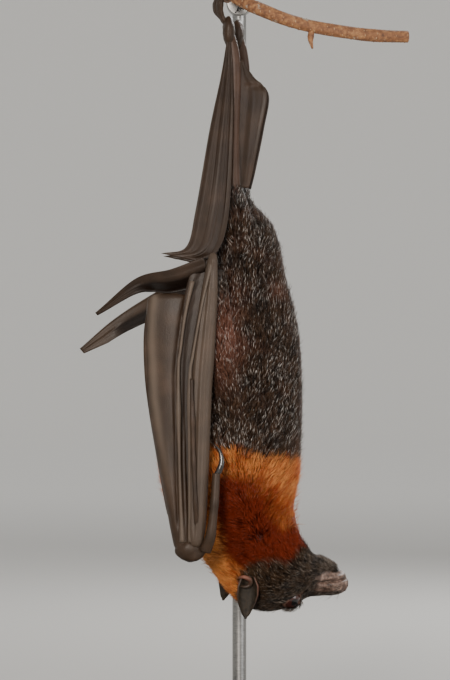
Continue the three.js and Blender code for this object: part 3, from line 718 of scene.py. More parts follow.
def toePath(side, offset):
    legX = legs["x"][side]
    root = (legX - 6.5, side * 12.2, 391)
    y = side * legs["middleY"] + offset * legs["pitch"]
    cx, cz = twigCentre(y)
    wrap = legs["wrap"]
    path = [(root[0] - 0.5, root[1] + 0.25 * (y - root[1]), root[2] - 1),
            (cx - wrap - 0.8, root[1] + 0.6 * (y - root[1]), cz - 9)]
    path += [(cx + wrap * math.cos(math.radians(a)), y, cz + wrap * math.sin(math.radians(a)))
             for a in (180, 140, 100, 60, 20)]
    claw = [(cx + wrap, y, cz + 3.2), (cx + wrap + 1.3, y, cz - 0.2), (cx + wrap + 1.7, y, cz - 3.6),
            (cx + wrap + 0.9, y, cz - 7), (cx + wrap - 0.9, y, cz - 9.5)]
    return path, claw


def knuckles(count, size):
    return lambda u, v: 1 + size * np.cos(u * count * 2 * math.pi) ** 6


def soleCreases(p):
    return 0.25 * softNoise(p, 2.2, 47)


def thighPath(side):
    return sided([(1, 16, 266), (-2, 21, 282), (legs["x"][side] - 4, 20, 300)], side)


def addLegs(side):
    legX = legs["x"][side]
    addLimb(thighPath(side), legs["thighRadii"], 0, warm=0.2, tint=0.4)
    root = (legX - 6.5, side * 12.2, 391)
    lowerLeg = [(legX - 4, 19.5, 298), (legX - 3.5, 17.6, 325), (legX - 2.6, 15.2, 352), (legX - 3.2, 12.9, 371),
                (root[0] + 0.6, 12.2, 389)]
    addLimb(sided(lowerLeg, side), [4.4, 4.1, 3.6, 3.1, 2.8, 2.8, 3.1, 3.5, 3.4, 2.0], 1, 76, 20,
            lambda u, v: 1 + 0.04 * np.sin(6 * math.pi * v + 7 * u), flesh=0.15)
    addShell(egg((root[0] + 0.3, root[1], root[2] - 3.6), (3.5, 6.6, 8.4), 24, 30, soleCreases), 1)
    for offset in range(-2, 3):
        path, _ = toePath(side, offset)
        addLimb(path, [1.5, skin["toeRadius"], skin["toeRadius"], 1.0], 1, 36, 10, knuckles(4, 0.16))


def webSheet(root, edge, side, push, steps, across, thickness):
    # a sheet between two lines of points on the right side; push(p, u, v) moves it in x and outwards
    lines = [np.array(sided(line, side)) for line in (root, edge)]

    def surface(u, v):
        a, b = (curveAt(line, u) for line in lines)
        p = a + (b - a) * v[..., None]
        forwards, out = push(p, u, v)
        return p + np.stack([forwards + 0 * u, side * out + 0 * u, 0 * u], -1)

    return sheetShell(surface, steps, across, thickness)


def tailFlap(side):
    # the narrow membrane down the inside of the leg, gathered at the tail and creased across its corner
    x = legs["x"][side] * 0.25
    free = [(x + 0.5, 12, 372), (x + 7, 10, 363), (x + 14.8, 7, 353.5), (x + 12, 7, 335), (x + 7.2, 8, 312),
            (x + 4.6, 9, 301)]
    bound = [(x + 0.2, 13, 371), (x - 0.8, 13.4, 363), (x - 1, 14, 353), (x - 1, 15, 335), (x - 1, 15, 312),
             (x - 1, 13, 301)]

    def push(p, u, v):
        crease = ridge(p[..., 2] - 0.15 * p[..., 0], 356, 1.4) * smooth(0.1, 0.4, v)
        soft = 0.8 * np.sin(2.2 * math.pi * v + 0.6) + 0.2 * np.sin(6 * math.pi * v + 3 * u)
        return 0, 0.9 * crease + soft * np.sin(math.pi * u)

    return webSheet(bound, free, side, push, 44, 18, lambda u, v: 0.8 + 0.7 * ridge(v, 1, 0.06))


upperArmRadii = [8.5, 7.5, 6.2, 5, 3.8]
handRows = [  # z, left x, right x, thickness of the folded hand's packet of membrane
    (101, -35.5, -25, 8), (116, -38.6, -27, 9.5), (132, -41.5, -28, 10), (160, -46.9, -28.5, 10),
    (186, -50.6, -28.5, 10), (217, -51.9, -28, 10), (232, -51.4, -27.4, 9.5), (242.5, -50.2, -27, 7),
]
forearmRows = [
    (264.5, -16.5, -12.8, 2.6), (259, -18.2, -12.2, 5.4), (246, -20.8, -12.1, 7.4), (232, -22.9, -12.6, 8.6),
    (209, -26.2, -13.8, 9.4), (190, -27.6, -15.2, 9.6), (160, -28.2, -16.4, 9.4), (135, -28.6, -17.4, 9),
    (116, -28.4, -18.6, 8.2), (104, -27.4, -20.4, 6.5),
]
layerRows = [  # an under layer of the packet that shows along its outer edge
    (240, -49.5, -43, 2), (222, -52.6, -44, 2.2), (200, -52.4, -44, 2.2), (180, -50.2, -43, 2), (150, -45.2, -40, 2),
    (118, -39.3, -35, 1.6),
]
valleyRows = [  # membrane that sinks between the packet and the forearm's fold
    (261, -21, -15, 1.2), (252, -27.5, -17, 2), (240, -30.5, -19.5, 2.4), (220, -33, -23.5, 2.6),
    (200, -33.5, -26.5, 2.6), (170, -33.5, -27, 2.4), (125, -32, -27, 2),
]
fingerLines = {  # z, x of the finger bones that show as ridges on the packet
    "outer": [(107, -31.5), (150, -33), (199, -33.6), (212, -32.4), (230, -30), (249, -26)],
    "inner": [(107, -27), (150, -27.5), (195, -27.4), (209, -25.7), (238, -20.4), (262, -14.8)],
}


def fingerX(name, z):
    line = np.array(fingerLines[name])
    return np.interp(z, line[:, 0], line[:, 1])


def foldedPanel(rows, side, middle, relief, steps, sides):
    # a flat bundle of folded membrane; middle is its y and the slope of that
    # relief(x, z, across) stands out from its outer face
    table = np.array(rows, float)

    def surface(u, v):
        z, left, right, thick = np.moveaxis(curveAt(table, u), -1, 0)
        angle = 2 * math.pi * v
        fromEnd = np.minimum(1, np.minimum(u, 1 - u) / 0.045)
        full = 0.3 + 0.7 * np.sqrt(1 - (1 - fromEnd) ** 2)  # rounds off both ends
        x = (left + right) / 2 + (right - left) / 2 * np.cos(angle) * 0.985 * full
        outer = smooth(0, 0.5, np.sin(angle))
        y = middle[0] + middle[1] * (x - right) + np.sin(angle) * thick / 2 * full
        y = y + outer * relief(x, z, (x - left) / (right - left))
        y = y - (1 - outer) * 0.25 * np.sin(x * 1.7 + np.sin(z / 12))
        return np.stack([x, side * y, z], -1)

    return tubeShell(surface, steps, sides)


def packetRelief(x, z, across):
    ends = smooth(110, 122, z) * smooth(246, 236, z)
    fromBone = x - fingerX("outer", z)
    folds = -1.3 * ridge(fromBone, -1.9, 0.8) - 0.8 * ridge(fromBone, 1.7, 0.7)
    folds -= 1.0 * smooth(0.5, 3, fromBone) * smooth(150, 215, z)
    folds += 0.5 * ridge(across, 0.16, 0.12)
    folds -= 0.6 * ridge(across, 0.5, 0.1) * smooth(190, 130, z)
    return folds * ends


def valleyRelief(x, z, across):
    return -0.8 * ridge(across, 0.55, 0.2) + 0.1 * np.sin(x * 4 + np.sin(z / 9))


def forearmRelief(x, z, across):
    fine = 0.07 * np.sin(x * 3.9 + 1.2 * np.sin(z / 13))
    fine = fine + 0.1 * softNoise(np.stack([x, 0 * x, z / 7], -1), 2.6, 45)
    grooves = -0.7 * ridge(across, 0.34, 0.08) - 0.5 * ridge(across, 0.62, 0.05)
    knob = 0.9 * bump(np.stack([x, 0 * x, z], -1), (-14.3, 0, 260.5), (2.2, 1, 3))
    return (fine + grooves) * smooth(264, 250, z) * smooth(106, 118, z) + knob


def armCurtain(side):
    # the arm membrane hangs from the leg to the forearm in lengthwise pleats
    edge = [(-6.4, 15.5, 386), (-10, 18, 363), (-16.5, 24, 332), (-24.2, 34, 288), (-29.5, 39.5, 267.5),
            (-42.9, 41, 264.2)]
    root = [(-5.4, 15.5, 386), (-4, 18, 363), (-4, 24, 332), (-6, 31, 288), (-12, 38, 266), (-24, 40.5, 260)]

    def push(p, u, v):
        wide = 0.9 * np.sin(math.pi * u) ** 0.7 * smooth(1.0, 0.8, v)
        folds = 0.55 * np.cos(v * 4.4 * math.pi + 0.5) - 0.5 * ridge(v, 0.38, 0.035)
        folds -= 0.45 * ridge(v, 0.16, 0.03) + 0.2 * ridge(v, 0.62, 0.03)
        folds += 0.04 * np.cos(v * 31 * math.pi + 3 * np.sin(5 * u))
        return 0, wide * folds + 2.2 * np.sin(math.pi * v) * np.sin(math.pi * u)

    def thickness(u, v):
        return 0.8 + 0.6 * ridge(v, 1, 0.02) * smooth(1, 0.85, u)

    return webSheet(root, edge, side, push, 48, 56, thickness)


def sideBunch(side):
    # the rest of the arm membrane, bunched between the flank and the forearm
    flank = [(-19, 26, 236), (-21, 32.5, 194), (-21, 33, 166), (-20, 31.5, 132)]
    arm = [(-20, 41, 236), (-22, 42, 194), (-23, 41, 166), (-23.5, 40, 132)]

    def push(p, u, v):
        return 1.4 * np.sin(2 * math.pi * v) + 0.3 * np.sin(9 * math.pi * v), 0

    return webSheet(flank, arm, side, push, 24, 18, 2.4)


wingTips = {
    -1: {"edge": [(-20, 46, 262), (-37.5, 42, 255.5), (-57, 35, 250.5), (-79, 29, 231.6)],
         "width": [13, 14, 13, 10, 5.5, 1.2]},
    1: {"edge": [(-22, 46, 258), (-51, 33, 241.5), (-72, 28, 227.5), (-89.5, 25, 212)],
        "width": [13, 14, 12.5, 10, 8, 3.2]},
}


def wingTip(side):
    tip = wingTips[side]
    edge = np.array(sided(tip["edge"], side))

    def surface(u, v):
        p = curveAt(edge, u)
        ahead = unit(curveAt(edge, np.minimum(u + 0.01, 1)) - curveAt(edge, np.maximum(u - 0.01, 0)))
        width = np.interp(u, np.linspace(0, 1, len(tip["width"])), tip["width"]) * v
        hang = np.stack([-ahead[..., 2], np.zeros_like(u), ahead[..., 0]], -1)
        hang *= np.where(hang[..., 2:] > 0, -1, 1)
        p = p + hang * width[..., None]
        folds = 0.35 * np.sin(4 * math.pi * v + 0.5) - 0.5 * ridge(v, 0.6, 0.07)
        p[..., 1] += side * (folds + 0.08 * np.sin(21 * v + 4 * u)) * (1 - 0.5 * u)
        # it turns in behind the packet's upper end
        p[..., 1] -= side * 7 * smooth(0.3, 1, v) * smooth(0.75, 0.5, u)
        return p

    def thickness(u, v):
        return 0.8 + 0.6 * ridge(v, 0, 0.06) + 0.5 * ridge(v, 1, 0.05) * smooth(1, 0.8, u)

    made = sheetShell(surface, 44, 26, thickness)
    # painted shade where the tip turns in behind the packet, and over the whole near tip
    dim = 0.9 * smooth(0.35, 0.6, made["v"]) * smooth(0.8, 0.6, made["u"]) + (0.35 if side < 0 else 0)
    return made, np.clip(dim, 0, 1)


ear = {"root": (0.6, 17.3, 91), "tip": (0.4, 19.5, 67), "width": [7, 11, 11.5, 9.5, 5.5, 1.6],
       "curl": (172.5, 75), "farSetBack": -6}  # the far ear leans further back


def earShell(side):
    setBack = ear["farSetBack"] if side > 0 else 0

    def surface(u, v):
        width = np.interp(u, np.linspace(0, 1, len(ear["width"])), ear["width"]) * 0.96
        width = width * (0.25 + 0.75 * smooth(0, 0.12, 1 - u)) + 0.2
        first, last = np.radians(ear["curl"])
        curl = first + (last - first) * u
        angle = (v - 0.5) * curl
        radius = width / (2 * np.sin(np.minimum(curl, math.pi) / 2))
        crossFolds = 0.35 * np.sin(u * 11 * math.pi) * ridge(v, 0.45, 0.2) * smooth(0.75, 0.5, u)
        radius = radius + crossFolds
        x, y, z = (a + (b - a) * u for a, b in zip(ear["root"], ear["tip"]))
        x = x + radius * np.sin(angle) + setBack * u
        y = y + radius * (1 - np.cos(angle))
        return turnedHead(np.stack([x, side * y, z], -1), np.ones_like(u))

    made = sheetShell(surface, 38, 26, lambda u, v: 0.75 + 0.25 * ridge(np.minimum(v, 1 - v), 0, 0.05))
    u, v = made["u"], made["v"]
    inner = (np.arange(len(u)) < len(u) // 2) == (side < 0)
    rim = ridge(v, 0.97, 0.06) * ridge(u, 0.3, 0.3)
    return made, np.clip(inner * (0.25 * ridge(u, 0.25, 0.28) + 0.6 * rim), 0, 1)


def earLobe(side):
    # the fold of skin in the mouth of the ear
    curve = [(-4.2, 19.4, 90.4), (-1.6, 21.0, 91.2), (1.8, 20.8, 89.4), (1.8, 20.4, 86.6), (-0.8, 20.2, 85.4),
             (-3.4, 18.8, 85.6)]
    back = -1 if side > 0 else 0
    path = turnedHead(np.array(sided([(x + back, y, z) for x, y, z in curve], side)), np.ones(len(curve)))
    return tubeShell(limbSurface(path, [0.6, 1.1, 1.3, 1.2, 1.0, 0.5]), 30, 12)


def upperArmPath(side):
    return sided([(2, 22, 150), (-8.5, 32, 200), (-12.5, 38, 255)], side)


def wristWrinkles(p):
    knobs = [(0.8, (-24, 45, 97.5), (2, 3, 2)), (0.7, (-27, 45.5, 97), (1.6, 3, 1.6))]
    return 0.3 * softNoise(p, 2.6, 41) + bumps(p, knobs)


thumb = {"path": [(-19, 44.5, 102.5), (-16, 48, 111), (-14, 49, 128), (-13, 48.5, 144.6)],
         "radii": [3.4, 2.9, 2.4, 2.3, 2.3, 2.2]}
fingers = [  # path, radii, steps, fatter, and how much painted highlight lies along the bone's ridge
    ([(-23, 45, 106), (-24.4, 50, 130), (-25.6, 51, 160), (-26.4, 50.8, 196)], [1.5, 1.3, 1.2, 1.3, 0.8], 60,
     knuckles(2, 0.25), 0),
    ([(x, y, z) for (z, x), y in zip(fingerLines["inner"], (45.5, 48.2, 49, 49.2, 49.2, 46.5))],
     [1.6, 1.2, 1.0, 0.9, 1.0, 1.5, 0.9, 0.7, 0.7, 0.8, 1.1], 90, None, 0.3),
    ([(x, y, z) for (z, x), y in zip(fingerLines["outer"], (44.4, 46, 46.2, 46.2, 46.2, 45.4))],
     [1.6, 1.1, 0.9, 0.8, 1.0, 1.6, 1.0, 0.8, 0.8, 0.9, 1.5], 90, None, 0.3),
]


def thumbJoint(u, v):
    return 1 + 0.1 * ridge(u, 0.62, 0.06)


def addWing(side):
    addLimb(upperArmPath(side), upperArmRadii, 0, tint=0.5)
    addShell(foldedPanel(forearmRows, side, (45, 0), forearmRelief, 96, 50), 1, pale=0.15)
    addShell(egg((-27, side * 40.5, 102.8), (8.6, 6.2, 6.8), 32, 40, wristWrinkles), 1)
    addLimb(sided(thumb["path"], side), thumb["radii"], 1, 50, 16, thumbJoint)
    for path, radii, steps, fatter, pale in fingers:
        addLimb(sided(path, side), radii, 1, steps, 10, fatter, pale=pale)
    packet = foldedPanel(handRows, side, (41.6, 0.2), packetRelief, 96, 68)
    x, _, z = packet["verts"].T
    # a band of painted highlight down the packet's rounded outer side
    fromEdge = x - np.interp(z, *np.array(handRows)[:, :2].T)
    addShell(packet, 1, pale=0.4 * ridge(fromEdge, 3.6, 2.2) * smooth(120, 190, z))
    addShell(foldedPanel(layerRows, side, (37.6, 0), lambda x, z, across: 0 * x, 40, 16), 1)
    # painted shade darkens the valley, the hanging curtain, the bunch by the flank and the tail flap
    addShell(foldedPanel(valleyRows, side, (43, 0), valleyRelief, 60, 28), 1, dim=0.4)
    addShell(armCurtain(side), 1, dim=0.3)
    addShell(sideBunch(side), 1, dim=0.6)
    blade, dim = wingTip(side)
    addShell(blade, 1, pale=0.1 if side > 0 else 0.0, dim=dim)
    addShell(tailFlap(side), 1, dim=0.15)


skinShells.append(trunkShell())
for side in (-1, 1):
    addLegs(side)
    addWing(side)
    made, pink = earShell(side)
    addShell(made, 2, pink=pink)
    lobe = earLobe(side)
    top = lobe["verts"][lobe["verts"][:, 2].argmax()]
    addShell(lobe, 2, pink=0.8 * bump(lobe["verts"], top, (4, 9, 4)))

skinPiece = makePiece("skin", joinShells(skinShells), ["bodySkin", "wingSkin", "earSkin"])
paired = ["thigh", "foot", "shin", "hand", "upper_arm", "forearm", "thumb", "finger_2", "finger_3", "finger_4",
          "hand_membrane", "arm_membrane", "side_membrane", "wing_tip", "tail_membrane", "ear"]
fleshNodes = ["rump", "belly", "chest", "neck", "head", "jaw"]
fleshNodes += [f"{name}_{where}" for name in paired for where in ("left", "right")]
settle(skinPiece, "wing_skin", *fleshNodes)
print("skin made:", sum(len(p.vertices) - 2 for p in skinPiece.data.polygons), "triangles")


# The coat.
# Each tuft is a closed three-sided lock: root, middle and tip, leaning along the lie of the coat.

coat = {"bodyDensity": 2.45, "mantleDensity": 3.3, "headDensity": 5.4, "bodyWidth": 0.4, "mantleWidth": 0.42,
        "headWidth": 0.3, "faceWidth": 0.2, "sunk": 0.4, "bakePatch": 0.003, "sway": 0.26, "curl": 0.22,
        "stray": 0.13, "proud": 0.07, "perClump": 10, "clump": 0.5, "clumpTint": 0.2, "seenAt": 0.6,
        "proudRise": 1.45, "middleReach": 0.45, "middleHeight": 0.68,
        "frostedAndGlinting": 0.34, "grizzled": 0.3, "faceGlints": 0.1,  # how many of the hairs have pale tips; these also stand for painted glints on the body and the face
        "strandTone": 0.42, "strandSwing": 0.42, "strandSize": 2.2, "strandSpread": 0.25,
        "partingPull": 1.5, "partingNear": 7, "partingReach": 27,  # hair combed away from the dark hollow
        "jawDepth": 1.5, "jawLength": 2.6,  # longer, standing hair under the chin
        "limbDepth": 2.6, "limbLength": 7}
coatParts = [  # name, first and last section, slot
    ("coat_rump", 0, 3.5, "body_coat"), ("coat_loins", 3.5, 4.5, "body_coat"),
    ("coat_flank", 4.5, 5.5, "body_coat"), ("coat_belly", 5.5, 7, "body_coat"),
    ("coat_chest", 7, 8, "body_coat"), ("coat_shoulders", 8, 8.9, "mantle_coat"),
    ("coat_collar", 8.9, 9.9, "mantle_coat"), ("coat_nape", 9.9, 12.5, "mantle_coat"),
    ("coat_face", 12.5, lastSection, "face_coat"),
]
coatFinishes = {"body_coat": "guardHair", "mantle_coat": "mantleHair", "face_coat": "faceHair"}
bakeMap = {"edge": 0.01, "trunkWide": 0.76, "high": 0.98,  # the trunk takes the left part of the map
           "limbLeft": {-1: 0.79, 1: 0.89}, "limbWide": 0.08, "limbHigh": 0.2,
           "thighFrom": 0.02, "armFrom": 0.3}


def trunkPlaces(s, angle):
    wide = bakeMap["trunkWide"] * (angle % (2 * math.pi)) / (2 * math.pi)
    return np.stack([bakeMap["edge"] + wide, bakeMap["edge"] + bakeMap["high"] * s / lastSection], -1)


def alongTrunk(s, values):
    stops = [0, 6.8, 7.4, 9.8, 11.5, 16, lastSection]
    return np.interp(s, stops, values)


def hairDensity(s):
    body, mantle, head = coat["bodyDensity"], coat["mantleDensity"], coat["headDensity"]
    share = 1
    return share * alongTrunk(s, [body, body, mantle, mantle, head, 1.1 * head, 1.3 * head])


def hairWidth(s):
    body, mantle, head, face = (coat[key] for key in ("bodyWidth", "mantleWidth", "headWidth", "faceWidth"))
    return alongTrunk(s, [body, body, mantle, mantle, head, face, face]) * 1


def scatterOver(surface, uRange, vRange, density, rows=160, columns=96):
    # root places over a surface, evenly spread: density, in tufts per square millimetre, changes along u
    u, v = np.linspace(*uRange, rows + 1), np.linspace(*vRange, columns + 1)
    p = surface(*np.meshgrid(u, v, indexing="ij"))
    area = np.linalg.norm(np.cross(p[1:, :-1] - p[:-1, :-1], p[:-1, 1:] - p[:-1, :-1]), axis=-1)
    weight = area * density((u[1:] + u[:-1]) / 2)[:, None]
    n = np.arange(int(weight.sum()))
    golden = 1.324717957244746  # steps by this fill the square evenly
    first, second = (0.5 + n / golden) % 1, (0.5 + n / golden**2) % 1
    rowSum = np.concatenate([[0], np.cumsum(weight.sum(1))])
    uPlace = np.interp(first, rowSum / rowSum[-1], u)
    row = np.clip(np.searchsorted(u, uPlace, side="right") - 1, 0, rows - 1)
    columnSum = np.concatenate([np.zeros((rows, 1)), np.cumsum(weight, 1)], 1)
    columnSum /= columnSum[:, -1:]
    flat = (columnSum + 2 * np.arange(rows)[:, None]).ravel()
    start = row * (columns + 1)
    spot = np.clip(np.searchsorted(flat, second + 2 * row), start + 1, start + columns)
    part = (second + 2 * row - flat[spot - 1]) / np.maximum(flat[spot] - flat[spot - 1], 1e-9)
    return uPlace, vRange[0] + (spot - 1 - start + part) * (vRange[1] - vRange[0]) / columns


lockVectors = ["root", "middle", "tip", "across", "rise"]  # what a lock's points are summed from
lockPoints = [  # shares of those vectors, place along the lock, and spot in its patch for baking
    ((1, 0, 0, -1, 0), 0, (-0.5, -0.5)), ((1, 0, 0, 1, 0), 0, (0.5, -0.5)), ((1, 0, 0, 0, 0.9), 0, (0, -0.5)),
    ((0, 1, 0, -0.85, 0), 0.5, (-0.5, 0)), ((0, 1, 0, 0.85, 0), 0.5, (0.5, 0)),
    ((0, 1, 0, 0, 0.75), 0.5, (0, 0.15)),
    ((0, 0, 1, 0, 0), 1, (0, 0.5)),
]


def lockTemplate():
    # a closed three-sided lock; its points lie together until the tree spreads them
    walls = [(i, (i + 1) % 3, (i + 1) % 3 + 3, i + 3) for i in range(3)]
    closing = [(3, 4, 6), (4, 5, 6), (5, 3, 6), (0, 2, 1)]
    shares = np.array([row[0] for row in lockPoints], float)
    marks = {name + "Share": shares[:, k] for k, name in enumerate(lockVectors)}
    marks["along"] = np.array([row[1] for row in lockPoints], float)
    lock = makePiece("lock", {"verts": np.zeros((7, 3)), "quads": np.array(walls), "tris": np.array(closing),
                              "marks": marks}, [], checked=False)
    addMarks(lock.data, "FLOAT_VECTOR", {"spot": np.array([(*row[2], 0.0) for row in lockPoints])})
    return lock


def newTree(name, inputs):
    # a Geometry Nodes tree with one geometry out; gives back its input sockets and a function that closes it
    tree = bpy.data.node_groups.new(name, "GeometryNodeTree")
    for label, kind in inputs:
        tree.interface.new_socket(label, in_out="INPUT", socket_type="NodeSocket" + kind)
    tree.interface.new_socket("Geometry", in_out="OUTPUT", socket_type="NodeSocketGeometry")
    given = tree.nodes.new("NodeGroupInput").outputs

    def close(geometry):
        real = addNode(tree, "GeometryNodeRealizeInstances", None, {"Geometry": geometry})
        dressed = addNode(tree, "GeometryNodeSetMaterial", None,
                          {"Geometry": real, "Material": given["Finish"]})
        addNode(tree, "NodeGroupOutput", None, {0: dressed})
        return tree

    return tree, given, close


def growLocksTree():
    # one lock at every root; each of its points is a sum of shares of the vectors that the root carries
    tree, given, close = newTree("growLocks", [("Roots", "Geometry"), ("Lock", "Object"), ("Patch", "Float"),
                                               ("Finish", "Material")])
    lock = addNode(tree, "GeometryNodeObjectInfo", None, {"Object": given["Lock"]}, "Geometry")
    locks = addNode(tree, "GeometryNodeInstanceOnPoints", None, {"Points": given["Roots"], "Instance": lock})
    locks = addNode(tree, "GeometryNodeRealizeInstances", None, {"Geometry": locks})
    vectors = {name: addNode(tree, "GeometryNodeInputNamedAttribute", {"data_type": "FLOAT_VECTOR"},
                             {"Name": name})
               for name in lockVectors + ["place", "spot"]}
    total = (0.0, 0.0, 0.0)
    for name in lockVectors:
        share = addNode(tree, "GeometryNodeInputNamedAttribute", {"data_type": "FLOAT"},
                        {"Name": name + "Share"})
        part = addNode(tree, "ShaderNodeVectorMath", {"operation": "SCALE"},
                       {0: vectors[name], "Scale": share})
        total = addNode(tree, "ShaderNodeVectorMath", {"operation": "ADD"}, {0: total, 1: part})
    locks = addNode(tree, "GeometryNodeSetPosition", None, {"Geometry": locks, "Position": total})
    spread = addNode(tree, "ShaderNodeVectorMath", {"operation": "SCALE"},
                     {0: vectors["spot"], "Scale": given["Patch"]})
    baked = addNode(tree, "ShaderNodeVectorMath", {"operation": "ADD"}, {0: vectors["place"], 1: spread})
    locks = addNode(tree, "GeometryNodeStoreNamedAttribute", {"data_type": "FLOAT2", "domain": "CORNER"},
                    {"Geometry": locks, "Name": "OFBake", "Value": baked})
    return close(locks)


def grownPiece(name, source, tree, settings):
    # runs the tree on the source object and keeps the result as a plain mesh; settings go to the named inputs
    modifier = source.modifiers.new("grow", "NODES")
    modifier.node_group = tree
    for label, value in settings.items():
        modifier[tree.interface.items_tree[label].identifier] = value
    bpy.context.view_layer.update()
    ready = source.evaluated_get(bpy.context.evaluated_depsgraph_get())
    mesh = bpy.data.meshes.new_from_object(ready)
    mesh.name = name
    source.modifiers.remove(modifier)
    return placeObject(name, mesh)


lockPiece, locksTree = lockTemplate(), growLocksTree()


def growLocks(name, vectors, marks, places, finish):
    # the roots as bare points that carry vectors in metres, marks and a place on the baking map
    mesh = bpy.data.meshes.new(name + "Roots")
    mesh.vertices.add(len(places))
    addMarks(mesh, "FLOAT_VECTOR", {"place": np.pad(places, ((0, 0), (0, 1)))})
    addMarks(mesh, "FLOAT_VECTOR", {label: vectors[label] * mm for label in lockVectors})
    addMarks(mesh, "FLOAT", marks)
    source = placeObject(name + "Roots", mesh)
    piece = grownPiece(name, source, locksTree,
                       {"Lock": lockPiece, "Patch": coat["bakePatch"], "Finish": finish})
    bpy.data.objects.remove(source)
    for label in lockVectors + [label + "Share" for label in lockVectors] + ["place", "spot"]:
        piece.data.attributes.remove(piece.data.attributes[label])
    return piece


def nearestOf(points, centres):
    # for each point, the number of the nearest centre
    finder = mathutils.kdtree.KDTree(len(centres))
    for number, centre in enumerate(centres):
        finder.insert(centre, number)
    finder.balance()
    return np.array([finder.find(point)[1] for point in points])


def combedLocks(rng, root, normal, lie, length, depth, width, marks, places, keep=None):
    # lie is the way the hair is combed; the coat stands depth above the skin at its tips
    count = len(root)
    # the first roots lead the clumps, because they are evenly spread too
    leader = nearestOf(root, root[:max(1, count // coat["perClump"])])
    for size, amount, seed in ((6, coat["sway"], 51), (2.4, coat["curl"], 55)):
        lie = lie + amount * np.stack([softNoise(root, size, seed + k) for k in range(3)], -1)
    lie = lie + rng.normal(0, coat["stray"], root.shape)
    lie = unit(lie - normal * (lie * normal).sum(-1, keepdims=True))
    length = length * rng.uniform(0.7, 1.12, count)
    height = depth * rng.uniform(0.55, 1.0, count)
    proud = rng.random(count) < coat["proud"]
    height = np.where(proud, height * coat["proudRise"], height)
    reach = np.sqrt(np.maximum(length**2 - height**2, (0.3 * length) ** 2))
    sideways = unit(np.cross(normal, lie))
    tip = root + lie * reach[:, None] + normal * height[:, None]
    middle = root + lie * (coat["middleReach"] * reach)[:, None]
    middle = middle + normal * (coat["middleHeight"] * height)[:, None]
    middle = middle + sideways * (rng.normal(0, 0.05, count) * length)[:, None]
    drawn = (coat["clump"] * rng.uniform(0.5, 1.3, count) * ~proud)[:, None]  # tips lean to their clump's
    tip = tip + (tip[leader] - tip) * drawn
    middle = middle + (middle[leader] - middle) * 0.4 * drawn
    marks["tint"] = np.clip(marks["tint"] + rng.normal(0, coat["clumpTint"], count)[leader], 0, 1)
    half = (width * rng.uniform(0.7, 1.3, count) / 2)[:, None]
    sunk = normal * np.minimum(coat["sunk"], 0.5 * depth)[:, None]
    vectors = {"root": root - sunk, "middle": middle, "tip": tip,
               "across": sideways * half, "rise": normal * half}
    keep = np.ones(count, bool) if keep is None else keep
    return ({label: values[keep] for label, values in vectors.items()},
            {label: values[keep] for label, values in marks.items()}, places[keep])


def coatMarks(rng, seen, tintPlace, face, head):
    # the markings where the hair is seen, which is nearer its tip than its root
    count = len(seen)
    mantle = mantleMark(seen)
    frostedAndGlinting = rng.random(count) < coat["frostedAndGlinting"] * frostAndGlintMark(seen)
    grizzled = (rng.random(count) < coat["grizzled"]) * head
    # pale tips scattered over the face are painted glints; under the chin they are real white hairs
    grizzled = grizzled + (rng.random(count) < coat["faceGlints"]) * 0.8 * face
    strands = coat["strandTone"] + coat["strandSwing"] * softNoise(tintPlace, coat["strandSize"], 61)
    # random strand tones, with painted light added over the nape and the mantle's top
    strands += rng.normal(0, coat["strandSpread"], count) + bumps(seen, markings["paintedLight"])
    return {"mantle": mantle, "rust": rustAndShadeMark(seen), "warm": warmMark(seen), "face": face,
            "frost": frostedAndGlinting * (1 - mantle) * (1 - face) * rng.uniform(0.25, 1, count) ** 1.5,
            "grizzle": grizzled * rng.uniform(0.3, 1, count), "tint": np.clip(strands, 0, 1)}


def trunkCoat(low, high, seed):
    rng = np.random.default_rng(seed)
    s, angle = scatterOver(trunkSkin, (low, high), (0, 2 * math.pi), hairDensity)
    s = np.clip(s + rng.normal(0, 0.01, len(s)), 0.02, lastSection - 0.02)
    angle = angle + rng.normal(0, 0.006, len(s))
    root = trunkSkin(s, angle)
    step = 0.02
    alongBody = trunkSkin(s + step, angle) - trunkSkin(s - step, angle)
    roundBody = trunkSkin(s, angle + step) - trunkSkin(s, angle - step)
    row = curveAt(trunkSections, s / lastSection)
    depth, length = row[:, 5], row[:, 6]
    core = np.stack([(row[:, 0] + row[:, 2]) / 2, 0 * s, (row[:, 1] + row[:, 3]) / 2], -1)
    normal = unit(np.cross(roundBody, alongBody))
    normal *= np.sign((normal * (root - turnedHead(core, row[:, 7]))).sum(-1))[:, None]
    jaw = smooth(0.15, 0.75, np.cos(angle)) * smooth(15.5, 17, s)
    depth, length = depth + coat["jawDepth"] * jaw, length + coat["jawLength"] * jaw
    perSection = np.linalg.norm(alongBody, axis=-1) / (2 * step)
    seen = trunkSkin(np.maximum(s - coat["seenAt"] * length / perSection, 0), angle, turned=False)
    straight = trunkSkin(s, angle, turned=False)
    marks = coatMarks(rng, seen, root, faceShare(s), 0.8 * jaw + 0.22 * smooth(12, 14, s))
    partX, partZ = markings["parting"]
    fromParting = np.stack([root[:, 0] - partX, 0 * s, 0.7 * (root[:, 2] - partZ)], -1)
    away = np.linalg.norm(fromParting, axis=-1)
    pull = coat["partingPull"] * away / (away + coat["partingNear"]) * ridge(away, 0, coat["partingReach"])
    pull = pull * smooth(0.2, 0.7, marks["mantle"])
    lie = -unit(alongBody) + unit(fromParting) * pull[:, None]
    depth = depth * (1 - 0.3 * marks["rust"] * marks["mantle"])
    keep = bareMark(straight) < 0.3 + 0.25 * rng.random(len(s))
    keep &= (lidMark(straight) < 0.4) & (np.minimum(eyeSlit(straight, -1), eyeSlit(straight, 1)) > 1.1)
    return combedLocks(rng, root, normal, lie, length, depth, hairWidth(s), marks,
                       trunkPlaces(s, angle), keep)


